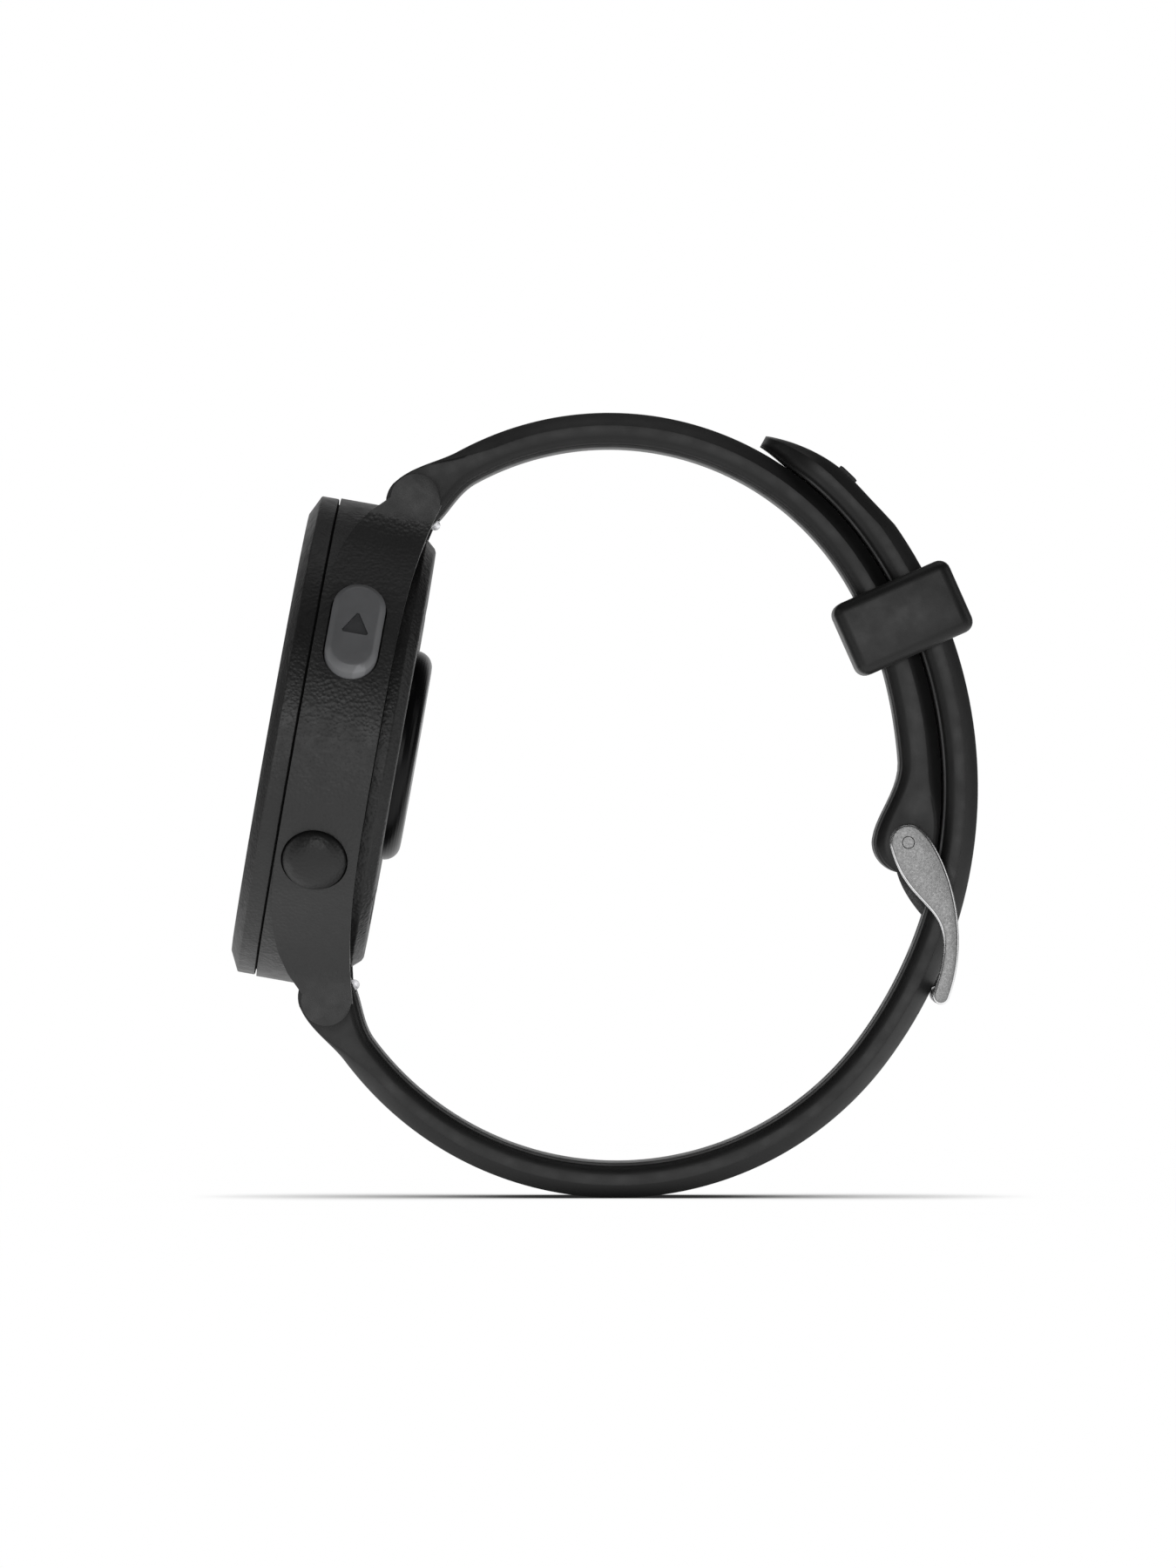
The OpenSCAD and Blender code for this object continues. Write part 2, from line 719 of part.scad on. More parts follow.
function strap_section(inset) =
    let (half_t = strap_t / 2 - inset, half_w = strap_w / 2 - inset, bevel = strap_bevel) [
        [-half_t, bevel - half_w], [bevel - half_t, -half_w], [half_t - bevel, -half_w],
        [half_t, bevel - half_w], [half_t, half_w - bevel], [half_t - bevel, half_w],
        [bevel - half_t, half_w], [-half_t, half_w - bevel]
    ];

// Stands at the side arc's centre, turned to one of its ends, and steps in to the next arc's centre
module at_joint(angle, step) {
    translate([side_mid.x, 0, side_mid.y]) rotate([90, 0, 0]) rotate([0, 0, angle]) translate([step, 0, 0])
        children();
}

module strap_arc(r, a0, a1, inset) {
    rotate([0, 0, a0]) rotate_extrude(angle = a1 - a0) translate([r, 0]) polygon(strap_section(inset));
}

// The strap's round end on its bar, with the flare that leads into it
module strap_end(at, neck_in, neck_out, inward) {
    across(strap_w - 2 * strap_bevel) polygon([
        at + (strap_end_r - 0.02) * ray(inward), neck_in, neck_out, at - (strap_end_r - 0.02) * ray(inward)
    ]);
    rod(at, -strap_w / 2, strap_w / 2, strap_end_r);
}

module bar_bore(at, inward) {
    slot_from = lever_y - 1.1;
    slot_to = lever_y + lever_travel + 1.1;
    rod(at, -strap_w, strap_w, bar_d / 2 + slide_gap);
    translate([at.x, (slot_from + slot_to) / 2, at.y]) rotate([0, -inward, 0])
        translate([strap_end_r, 0, 0]) cube([2 * strap_end_r - 0.4, slot_to - slot_from, 1.3], center = true);
}

// A hole through the strap across its length, at an angle on one of the arcs
module hole(centre, r, a) {
    reach = (hole_l - hole_w) / 2;
    translate([centre.x, 0, centre.y]) rotate([0, -a, 0]) translate([r, 0, 0]) rotate([0, 90, 0]) {
        for (side = [-1, 1]) translate([side * reach, 0, 0])
            cylinder(h = 2 * strap_t, d = hole_w, center = true);
        cube([2 * reach, hole_w, 2 * strap_t], center = true);
    }
}

// Cuts a hole at a distance along the tail strap from the tongue's hole
module tail_hole(along) {
    a = tongue_hole_at + degrees(along, side_band_r);
    crown_a = crown_end + degrees(along - side_past_tongue, tail_crown_r);
    side_run = (side_end - tongue_hole_at) * PI / 180 * side_band_r;
    bottom_a = side_end + degrees(along - side_run, bottom_r);
    if (a > crown_end) hole(crown_mid, tail_crown_r, crown_a);
    else if (a < side_end) hole(bottom_mid, bottom_r, bottom_a);
    else hole(side_mid, side_band_r, a);
}

// Slopes the outer face of the tail's tip in two steps, and rounds its corners
module tip_cut() {
    outer_r = tail_crown_r + strap_t / 2;
    reach = degrees(tip_corner_r, tail_crown_r);
    tip_end = tip_angle + 1.5;
    across(2 * strap_w) polygon([
        crown_mid + (outer_r + 0.1) * ray(tip_slope_from), crown_mid + (outer_r - 0.7) * ray(tip_angle - 4.5),
        crown_mid + (outer_r - 1.9) * ray(tip_end), crown_mid + (outer_r + 4) * ray(tip_end),
        crown_mid + (outer_r + 4) * ray(tip_slope_from)
    ]);
    translate([crown_mid.x, 0, crown_mid.y]) rotate([0, -(tip_angle - reach), 0])
        translate([tail_crown_r, 0, 0]) rotate([0, 90, 0]) difference() {
            translate([-2 * tip_corner_r, -strap_w, -5]) cube([2 * tip_corner_r, 2 * strap_w, 10]);
            for (side = [-1, 1]) translate([0, side * (strap_w / 2 - tip_corner_r), -6])
                cylinder(h = 12, r = tip_corner_r);
            translate([-tip_corner_r, tip_corner_r - strap_w / 2, -6])
                cube([tip_corner_r + past, strap_w - 2 * tip_corner_r, 12]);
        }
}

module tail_strap() {
    flare = 9;
    neck = bottom_end + flare;
    outer_r = tail_crown_r + strap_t / 2;
    half_ridge = degrees(ridge_l, outer_r) / 2;
    color([0.1, 0.1, 0.105]) difference() {
        union() {
            at_joint(crown_end, side_band_r - tail_crown_r)
                strap_arc(tail_crown_r, -joint_lap, tip_angle - crown_end, joint_inset);
            at_joint(side_end, 0) strap_arc(side_band_r, 0, crown_end - side_end, 0);
            at_joint(side_end, side_band_r - bottom_r)
                strap_arc(bottom_r, bottom_end + 2 - side_end, joint_lap, joint_inset);
            strap_end(lower_bar, on_bottom(neck, -strap_t / 2), on_bottom(neck, strap_t / 2), lower_inward);
            translate([crown_mid.x, 0, crown_mid.y]) rotate([90, 0, 0])
                rotate([0, 0, ridge_angle - half_ridge]) rotate_extrude(angle = 2 * half_ridge)
                    translate([outer_r - 0.4, -strap_w / 2 + 2]) square([0.4 + ridge_h, strap_w - 4]);
        }
        bar_bore(lower_bar, lower_inward);
        for (i = [-4 : 6]) tail_hole(i * hole_pitch);
        tip_cut();
    }
}

module buckle_strap() {
    flare = 12;
    neck = crown_start - flare;
    heel_end = -9.5;
    inner_face = -layer_pitch - strap_t / 2;
    heel = [
        lobe_at - lobe_r * ray(-40), on_side(-4.5, inner_face - 1),
        on_side(0, inner_face + 0.1), on_side(7, inner_face + 0.1)
    ];
    color([0.1, 0.1, 0.105]) difference() {
        union() {
            strap_end(upper_bar, on_crown(neck, -strap_t / 2), on_crown(neck, strap_t / 2), upper_inward);
            at_joint(crown_end, inner_side_r - crown_r)
                strap_arc(crown_r, -joint_lap, crown_start - 2 - crown_end, joint_inset);
            at_joint(crown_end, 0) strap_arc(inner_side_r, heel_end - crown_end, 0, 0);
            rod(lobe_at, -strap_w / 2, strap_w / 2, lobe_r);
            across(strap_w - 2 * strap_bevel) polygon(concat(
                [for (i = [0 : 6]) bezier(heel, i / 6)],
                [on_side(7, inner_face + 1), on_side(-6, inner_face + 1.5)]
            ));
        }
        bar_bore(upper_bar, upper_inward);
        rod(pin_at, -strap_w, strap_w, pin_d / 2 + slide_gap);
        translate([pin_at.x, 0, pin_at.y]) rotate([0, 8, 0])
            translate([-4, -tongue_slot / 2, -6]) cube([8, tongue_slot, 9]);
    }
}

// ---- Keeper and buckle ----
module keeper() {
    wall = (keeper_h - keeper_outer + keeper_inner) / 2;
    inner_half = strap_w / 2 + keeper_side_gap;
    half_l = keeper_l / 2;
    corner = 1.1;
    r0 = keeper_inner - wall + corner;
    r1 = keeper_outer + wall - corner;
    color([0.1, 0.1, 0.105]) translate([side_mid.x, 0, side_mid.y]) rotate([0, -keeper_angle, 0])
        difference() {
        across(2 * (inner_half + keeper_side_t)) polygon(concat(
            arc([r1, half_l - corner], corner, 0, 90, 5), arc([r0, half_l - corner], corner, 90, 180, 5),
            arc([r0, corner - half_l], corner, 180, 270, 5), arc([r1, corner - half_l], corner, 270, 360, 5)
        ));
        translate([keeper_inner, -inner_half, -keeper_l])
            cube([keeper_outer - keeper_inner, 2 * inner_half, 2 * keeper_l]);
    }
}

// One edge of a buckle arm, from the round end at the pin to the outer bar, each end tangent to its round
function arm_edge(head_a, foot_a, turn, head_lean, foot_lean) = [
    pin_at + arm_head_r * ray(head_a),
    pin_at + arm_head_r * ray(head_a) + head_lean * ray(head_a - turn),
    bar_at + outer_bar_d / 2 * ray(foot_a) + foot_lean * ray(foot_a + turn),
    bar_at + outer_bar_d / 2 * ray(foot_a)
];
arm_head_r = 1.6;
arm_outer = arm_edge(70.2, -20, 90, 2.2, 7.1);
arm_inner = arm_edge(194.8, 160.3, -90, 6.5, 8.8);
arm_steps = 16;

// The tongue leans through the tail strap's hole and comes to rest in a notch of the outer bar
tongue_rest = strap_t / 2 + bar_lift + outer_bar_d - tongue_t / 2;
notch_w = tongue_w + 0.4;
notch_gap = 0.14;
notch_floor = outer_bar_d / 2 - tongue_t - notch_gap;
hole_at = on_side(tongue_hole_at, 0);
hole_way = ray(tongue_hole_at - 28);
tongue_start = tongue_hole_at - 95.3;
tongue_root_lean = 2.6;
tongue_hole_lean = 3;
tongue_end_lean = 2.8;
tongue_sink = 0.25;
tongue_root = [
    pin_at, pin_at + tongue_root_lean * ray(tongue_start), hole_at - tongue_hole_lean * hole_way, hole_at
];
tongue_tip = on_side(bar_angle, tongue_rest);
tongue_end = [
    hole_at, hole_at + tongue_end_lean * hole_way, on_side(-22, tongue_rest - tongue_sink), tongue_tip
];

module buckle_arm() {
    rotate([90, 0, 0]) linear_extrude(height = arm_t) {
        polygon(concat(
            [for (i = [0 : arm_steps]) bezier(arm_outer, i / arm_steps)],
            [for (i = [arm_steps : -1 : 0]) bezier(arm_inner, i / arm_steps)]
        ));
        translate(pin_at) circle(r = arm_head_r - 0.02);
        translate(bar_at) circle(r = outer_bar_d / 2);
    }
}

module buckle_frame() {
    inner = strap_w / 2 + arm_gap;
    color([0.6, 0.6, 0.61]) difference() {
        union() {
            translate([0, -inner, 0]) buckle_arm();
            translate([0, inner + arm_t, 0]) buckle_arm();
            rod(bar_at, -inner - past / 2, inner + past / 2, outer_bar_d / 2);
        }
        rod(pin_at, -2 * strap_w, 2 * strap_w, pin_d / 2 - 0.25);
        translate([bar_at.x, 0, bar_at.y]) rotate([0, -bar_angle, 0])
            translate([notch_floor, -notch_w / 2, -outer_bar_d])
                cube([outer_bar_d, notch_w, 2 * outer_bar_d]);
    }
}

module buckle_pin() {
    inner = strap_w / 2 + arm_gap;
    color([0.7, 0.7, 0.72]) {
        rod(pin_at, -inner + 0.05, inner - 0.05, pin_d / 2);
        rod(pin_at, -inner - arm_t, inner + arm_t, pin_d / 2 - 0.27);
    }
}

module buckle_tongue() {
    hub_r = 1.9;
    color([0.5, 0.5, 0.51]) difference() {
        union() {
            across(tongue_w) {
                polygon(tapered(tongue_root, 1, tongue_t / 2, 0.5, 14));
                polygon(tapered(tongue_end, tongue_t / 2, tongue_t / 2, 1, 14));
                translate(hole_at) circle(r = tongue_t / 2);
                translate(tongue_tip) circle(r = tongue_t / 2);
            }
            rod(pin_at, -tongue_w / 2, tongue_w / 2, hub_r);
        }
        rod(pin_at, -strap_w, strap_w, pin_d / 2 + slide_gap);
    }
}

case_body();
bezel();
front_glass();
glass_seal();
display_module();
mid_frame();
gnss_antenna();
main_board();
shield_cans();
side_switches();
battery();
vibration_motor();
piezo_disc();
back_seal();
back_cover();
back_cover_screws();
sensor_lens();
sensor_ring();
sensor_board();
sensor_leds();
charge_socket();
charge_contacts();
start_cap();
start_stem();
start_o_ring();
start_clip();
back_cap();
back_stem();
back_o_ring();
back_clip();
light_cap();
light_stem();
light_o_ring();
light_clip();
up_cap();
up_stem();
up_o_ring();
up_clip();
down_cap();
down_stem();
down_o_ring();
down_clip();
upper_bar_tube();
upper_bar_tip();
upper_release();
upper_spring();
lower_bar_tube();
lower_bar_tip();
lower_release();
lower_spring();
buckle_strap();
tail_strap();
keeper();
buckle_frame();
buckle_pin();
buckle_tongue();
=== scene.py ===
import json
import math

import bmesh
import bpy
import numpy as np
from mathutils import Matrix, Vector

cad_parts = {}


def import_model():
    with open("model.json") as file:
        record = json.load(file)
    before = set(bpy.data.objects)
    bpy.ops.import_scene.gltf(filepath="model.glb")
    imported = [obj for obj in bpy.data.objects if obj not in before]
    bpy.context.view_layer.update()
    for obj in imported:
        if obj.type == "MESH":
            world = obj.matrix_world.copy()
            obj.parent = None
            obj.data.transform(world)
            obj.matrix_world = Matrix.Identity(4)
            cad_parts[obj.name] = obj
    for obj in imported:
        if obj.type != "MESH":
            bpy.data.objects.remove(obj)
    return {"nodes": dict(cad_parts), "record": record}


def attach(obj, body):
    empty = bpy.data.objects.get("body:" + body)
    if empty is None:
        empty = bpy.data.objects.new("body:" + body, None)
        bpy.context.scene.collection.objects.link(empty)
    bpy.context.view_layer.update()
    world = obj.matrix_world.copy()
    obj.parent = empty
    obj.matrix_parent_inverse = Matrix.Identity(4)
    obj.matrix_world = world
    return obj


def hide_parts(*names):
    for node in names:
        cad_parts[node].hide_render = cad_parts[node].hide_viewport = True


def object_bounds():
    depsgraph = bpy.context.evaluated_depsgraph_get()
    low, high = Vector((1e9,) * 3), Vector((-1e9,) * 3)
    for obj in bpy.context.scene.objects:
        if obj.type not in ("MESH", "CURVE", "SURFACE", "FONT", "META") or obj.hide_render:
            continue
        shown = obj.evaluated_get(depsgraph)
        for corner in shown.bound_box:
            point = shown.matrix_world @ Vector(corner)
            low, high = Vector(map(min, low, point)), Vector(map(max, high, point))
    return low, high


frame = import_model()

MM = 0.001
CAD_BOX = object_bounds()
JOINTS = {j["name"]: j for j in frame["record"]["behaviour"]["joints"]}

# ---- Sizes in mm and angles in degrees, as in the part's source ----
STRAP_W, STRAP_T, LAYER_PITCH = 18.0, 3.0, 3.2
FULL_LIP_T = 2.6
CROWN_START, CROWN_END, SIDE_END, BOTTOM_END = 131.0, 35.0, -36.8, -154.6
END_R = 2.5
QUICK_BAR_R, PIN_R, PIN_HEAD_R = 0.8, 0.8, 0.56
PAST_STRAP, PAST_ARMS = 10, 14
TIP_ANGLE, TIP_SLOPE = 61.5, 14.5
RIB_HALF_W, RIB_L, RIB_H = 7, 1.9, 0.25
HOLE_PITCH, HOLE_L, HOLE_W = 5.1, 4.4, 2.8
TONGUE_HOLE, TONGUE_SLOT_W = -18.2, 2.2
HEEL_ANGLE, LOBE_R, LOBE_DEPTH = -8.2, 2.6, 1.4
KEEPER_ANGLE, KEEPER_H, KEEPER_HALF_L, KEEPER_ROUND = 23.9, 10.9, 3.35, 1.0
ARM_T, ARM_GAP, HEAD_R, ARM_ROUND = 1.6, 0.35, 1.6, 0.26
BAR_ANGLE, BAR_R, BAR_LIFT = -26.3, 0.75, 0.2
NOTCH_DEPTH, NOTCH_HALF_W = 0.88, 1
START_ANGLE, START_W, START_L = 152.9, 4.6, 8.7
MARK_R, MARK_DEPTH = 1.45, 0.32
CAP_FOOT, CAP_H = 20.6, 2.0
CAP_X = 5.9
ROUND_CAPS = {
    "back_cap": (208.5, 5.5), "light_cap": (28.5, 5.0), "up_cap": (0, 5.0), "down_cap": (-28.5, 5.0)}
WATCH = Matrix.Translation((-33.28, 0, 6.25)) @ Matrix.Rotation(math.radians(10.1), 4, "Y")


def ray(a):
    return np.array([math.cos(math.radians(a)), math.sin(math.radians(a))])


def joint_at(name):
    x, _, z = JOINTS[name]["pos_m"]
    return np.array([x, z]) / MM


# ---- The band's middle lines, from the joints' places ----
UPPER_BAR, LOWER_BAR = joint_at("buckle_strap_hinge"), joint_at("tail_strap_hinge")
SIDE_MID, PIN = joint_at("keeper_travel"), joint_at("buckle_hinge")


def band_radii():
    u, v, w, x = ray(CROWN_START), ray(CROWN_END), ray(SIDE_END), ray(BOTTOM_END)
    crown_r, side_r = np.linalg.solve(np.array([u - v, v]).T, UPPER_BAR - SIDE_MID + LAYER_PITCH * v)
    bottom_r, _ = np.linalg.solve(np.array([x - w, w]).T, LOWER_BAR - SIDE_MID)
    return crown_r, side_r, bottom_r


CROWN_R, SIDE_R, BOTTOM_R = band_radii()
CROWN_MID = SIDE_MID - (CROWN_R + LAYER_PITCH - SIDE_R) * ray(CROWN_END)
BOTTOM_MID = SIDE_MID + (SIDE_R - BOTTOM_R) * ray(SIDE_END)
TAIL_CROWN_R, INNER_SIDE_R = CROWN_R + LAYER_PITCH, SIDE_R - LAYER_PITCH


def on_side(a, out):
    return SIDE_MID + (SIDE_R + out) * ray(a)


def smooth(x):
    x = min(max(x, 0.0), 1.0)
    return x * x * (3 - 2 * x)


# ---- Mesh helpers ----
def new_piece(name, bm, body, slot, *nodes):
    mesh = bpy.data.meshes.new(name)
    bm.to_mesh(mesh)
    bm.free()
    obj = bpy.data.objects.new(name, mesh)
    bpy.context.scene.collection.objects.link(obj)
    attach(obj, body)
    if nodes:
        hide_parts(*nodes)
    return obj


def crease(bm, degrees=32):
    """Smooth shading, with sharp edges where faces meet at more than an angle."""
    limit = math.radians(degrees)
    for face in bm.faces:
        face.smooth = True
    for edge in bm.edges:
        edge.smooth = len(edge.link_faces) == 2 and edge.calc_face_angle(0) < limit


def loft(bm, sections):
    """Joins closed rings of points, one after another, and closes both ends."""
    rings = [[bm.verts.new(Vector(p) * MM) for p in section] for section in sections]
    count = len(rings[0])
    for a, b in zip(rings, rings[1:]):
        for i in range(count):
            j = (i + 1) % count
            bm.faces.new((a[i], a[j], b[j], b[i]))
    bm.faces.new(list(reversed(rings[0])))
    bm.faces.new(rings[-1])
    bmesh.ops.recalc_face_normals(bm, faces=bm.faces)


def absorb(bm, part):
    """Adds one bmesh to another and frees it."""
    mesh = bpy.data.meshes.new("part")
    part.to_mesh(mesh)
    part.free()
    bm.from_mesh(mesh)
    bpy.data.meshes.remove(mesh)


def cut(obj, cutters):
    """Cuts closed meshes out of a piece and keeps the result as its mesh."""
    bm = bmesh.new()
    for part in cutters:
        absorb(bm, part)
    bmesh.ops.recalc_face_normals(bm, faces=bm.faces)
    mesh = bpy.data.meshes.new("cutter")
    bm.to_mesh(mesh)
    bm.free()
    tool = bpy.data.objects.new("cutter", mesh)
    bpy.context.scene.collection.objects.link(tool)
    for data in (obj.data, mesh):
        while len(data.materials) < 2:
            data.materials.append(None)
    mod = obj.modifiers.new("cut", "BOOLEAN")
    mod.operation, mod.object, mod.solver, mod.use_self = "DIFFERENCE", tool, "EXACT", True
    graph = bpy.context.evaluated_depsgraph_get()
    result = bpy.data.meshes.new_from_object(obj.evaluated_get(graph))
    obj.modifiers.clear()
    old, obj.data = obj.data, result
    bpy.data.meshes.remove(old)
    bpy.data.objects.remove(tool)
    bpy.data.meshes.remove(mesh)


def recrease(obj, degrees=32):
    bm = bmesh.new()
    bm.from_mesh(obj.data)
    bmesh.ops.remove_doubles(bm, verts=bm.verts, dist=1e-7)
    crease(bm, degrees)
    bm.to_mesh(obj.data)
    bm.free()


def prism(outline, low, high):
    """A closed prism: the outline in the X-Z plane, in mm, drawn out along Y."""
    bm = bmesh.new()
    loft(bm, [[(x, y, z) for x, z in outline] for y in (low, high)])
    return bm


def tube(at, low, high, r, steps=40):
    return prism([at + r * ray(360 * i / steps) for i in range(steps)], low, high)


def slab(centre, r, a, depth, half_l, half_w, steps=12):
    """A stadium-shaped cutter through a strap, at an angle and a radius about an arc's middle."""
    out, along = ray(a), ray(a + 90)
    reach = half_l - half_w
    ring = [(s * reach + half_w * math.cos(t), half_w * math.sin(t))
            for s, start in ((1, -90), (-1, 90))
            for t in (math.radians(start + 180 * i / steps) for i in range(steps + 1))]
    bm = bmesh.new()
    middle = centre + r * out
    sections = []
    for d in (-depth, depth):
        places = [(middle + d * out + u * along, y) for u, y in ring]
        sections.append([(at[0], y, at[1]) for at, y in places])
    loft(bm, sections)
    return bm


# ---- Straps ----
def strap_section(half_w, t_out, t_in, bevel):
    """One cross-section as (across, outward): bevelled outside, rounded side, a thin lip inside."""
    b = bevel
    k = min((t_out + t_in) / FULL_LIP_T, 1)
    outside = [
        (0.5 * half_w, 0), (1.62 * b + 0.16, 0), (1.5 * b + 0.07, 0.06), (0.85 * b + 0.03, 0.06 + 0.42 * b),
        (0.14 * b + 0.02, 0.08 + 0.9 * b), (0.02, 0.12 + b), (0, 0.25 + 1.05 * b)]
    inside = [
        (0.03, 1.05), (0.12, 0.72), (0.28, 0.47), (0.5, 0.3), (0.68, 0.25), (0.71, 0.21), (0.72, 0.05),
        (0.8, 0), (0.5 * half_w, -0.05)]
    half = [(half_w - y, t_out - k * t) for y, t in outside] + [(half_w - y, k * t - t_in) for y, t in inside]
    return half + [(-y, t) for y, t in reversed(half)]


def station(centre, r, a, half_w, t_out, t_in, bevel):
    n = ray(a)
    return [(centre[0] + (r + t) * n[0], y, centre[1] + (r + t) * n[1])
            for y, t in strap_section(half_w, t_out, t_in, bevel)]


def bar_end(run):
    """Half thickness near a bar: run is the way from the bar along the strap, below 0 past it."""
    if run < 0:
        return math.sqrt(max(END_R ** 2 - run * run, 0.0004))
    flare = smooth(1 - run / 5.4)
    return STRAP_T / 2 + (END_R - 0.03 - STRAP_T / 2) * flare


def bar_stations(centre, r, bar_angle, sign):
    """Sections from a bar's far side to where the strap is plain. sign is the way of growing angle."""
    past = [-END_R * math.cos(math.radians(7.5 * i)) for i in range(12)]
    runs = past + [0.35 * i for i in range(1, 27)]
    out = []
    for run in runs:
        a = bar_angle + sign * math.degrees(run / r)
        half = bar_end(run)
        bevel = smooth((run - 2.2) / 6.5)
        out.append(station(centre, r, a, STRAP_W / 2, half, half, bevel))
    return out, bar_angle + sign * math.degrees(runs[-1] / r)


def spread(a, b, step):
    count = max(2, round(abs(b - a) / step))
    return [a + (b - a) * i / count for i in range(1, count + 1)]


def heel_depth(a):
    """Inner half thickness of the buckle strap, which grows to the round heel at the buckle."""
    return STRAP_T / 2 + 0.5 * smooth((36 - a) / 30) + 1.99 * smooth((4 - a) / 12.2)


def heel_stations():
    """The buckle strap's lower part: it thickens to the heel and ends in a round lobe."""
    heel_r = SIDE_R - LAYER_PITCH - LOBE_DEPTH
    sections = []
    for a in spread(CROWN_END, HEEL_ANGLE, 1.2):
        bevel = 1 - 0.75 * smooth((2 - a) / 8)
        sections.append(station(SIDE_MID, INNER_SIDE_R, a, STRAP_W / 2, STRAP_T / 2, heel_depth(a), bevel))
    for i in range(1, 13):
        run = LOBE_R * math.sin(math.radians(7.2 * i))
        half = math.sqrt(LOBE_R ** 2 - run ** 2)
        a = HEEL_ANGLE - math.degrees(run / heel_r)
        outer = (STRAP_T / 2 + LOBE_DEPTH) * math.sqrt(1 - (run / LOBE_R) ** 3) - LOBE_DEPTH
        bevel = 0.25 * half / LOBE_R
        sections.append(station(SIDE_MID, INNER_SIDE_R, a, STRAP_W / 2, outer, half + LOBE_DEPTH, bevel))
    return sections


def lever_slot(bar, inward):
    """The finger slot over the quick-release lever."""
    lever_y = 3 - STRAP_W / 2
    n, t = ray(inward), ray(inward + 90)
    corners = [bar + reach * n + side * t
               for reach, side in ((0.2, -0.65), (0.2, 0.65), (5, 0.65), (5, -0.65))]
    return prism(corners, lever_y - 1.1, lever_y + 2.3)


def buckle_strap():
    bm = bmesh.new()
    first, a = bar_stations(CROWN_MID, CROWN_R, CROWN_START, -1)
    plain = [station(CROWN_MID, CROWN_R, b, STRAP_W / 2, STRAP_T / 2, STRAP_T / 2, 1)
             for b in spread(a, CROWN_END, 1.5)]
    loft(bm, first + plain + heel_stations())
    obj = new_piece("strap_with_buckle", bm, "buckle_side", "strap_silicone", "buckle_strap")
    n, t = ray(-8), ray(82)
    reach = [PIN + s * 4.2 * n - 7 * t for s in (-1, 1)] + [PIN + s * 4.2 * n + 3 * t for s in (1, -1)]
    cut(obj, [tube(UPPER_BAR, -PAST_STRAP, PAST_STRAP, QUICK_BAR_R), lever_slot(UPPER_BAR, CROWN_START + 180),
              tube(PIN, -PAST_STRAP, PAST_STRAP, PIN_R), prism(reach, -TONGUE_SLOT_W / 2, TONGUE_SLOT_W / 2)])
    recrease(obj)
    return obj


def tail_place(along):
    """Middle, radius and angle of a place on the tail strap, from the tongue's hole."""
    a = TONGUE_HOLE + math.degrees(along / SIDE_R)
    if a > CROWN_END:
        over = along - math.radians(CROWN_END - TONGUE_HOLE) * SIDE_R
        return CROWN_MID, TAIL_CROWN_R, CROWN_END + math.degrees(over / TAIL_CROWN_R)
    if a < SIDE_END:
        under = along - math.radians(SIDE_END - TONGUE_HOLE) * SIDE_R
        return BOTTOM_MID, BOTTOM_R, SIDE_END + math.degrees(under / BOTTOM_R)
    return SIDE_MID, SIDE_R, a


def tip_slope(a):
    """How far down the tip's slope an angle is: 0 at its start, 1 at the end."""
    return max((a - TIP_ANGLE + TIP_SLOPE) / TIP_SLOPE, 0)


def tail_outer(a):
    """Outer half thickness of the tail on the crown's arc: it thins, then slopes down to the tip."""
    slope = tip_slope(a)
    return STRAP_T / 2 - 0.3 * smooth((a - 33) / 9) - 1.4 * slope ** 1.6


def tip_stations():
    """The tail's tip: the outer face slopes down and the corners round off."""
    corner = 6.0
    sections = []
    for a in spread(CROWN_END, TIP_ANGLE - 13, 1.5) + spread(TIP_ANGLE - 13, TIP_ANGLE, 0.45):
        left = math.radians(TIP_ANGLE - a) * TAIL_CROWN_R
        round_in = corner - math.sqrt(max(corner ** 2 - max(corner - left, 0) ** 2, 0))
        slope = tip_slope(a)
        inner = STRAP_T / 2 - 0.3 * smooth(slope * 2 - 1)
        half_w = STRAP_W / 2 - round_in * 0.97
        sections.append(station(CROWN_MID, TAIL_CROWN_R, a, half_w, tail_outer(a), inner, 0.9 - 0.6 * slope))
    return sections


def tail_ridge():
    """The low rib across the tail that stops it slipping out of the keeper."""
    bm = bmesh.new()
    middle = TIP_ANGLE - 15.1
    outer = TAIL_CROWN_R + tail_outer(middle)
    half = math.degrees(RIB_L / outer) / 2
    sections = []
    for i in range(9):
        n = ray(middle - half + 2 * half * i / 8)
        rise = RIB_H if 0 < i < 8 else RIB_H - 0.05
        right = [(RIB_HALF_W - 0.1, rise), (RIB_HALF_W, rise - 0.08), (RIB_HALF_W, -0.4)]
        rows = [(-y, t) for y, t in reversed(right)] + right
        places = [(CROWN_MID + (outer + t) * n, y) for y, t in rows]
        sections.append([(at[0], y, at[1]) for at, y in places])
    loft(bm, sections)
    crease(bm)
    return new_piece("tail_rib", bm, "tail_side", "strap_silicone")


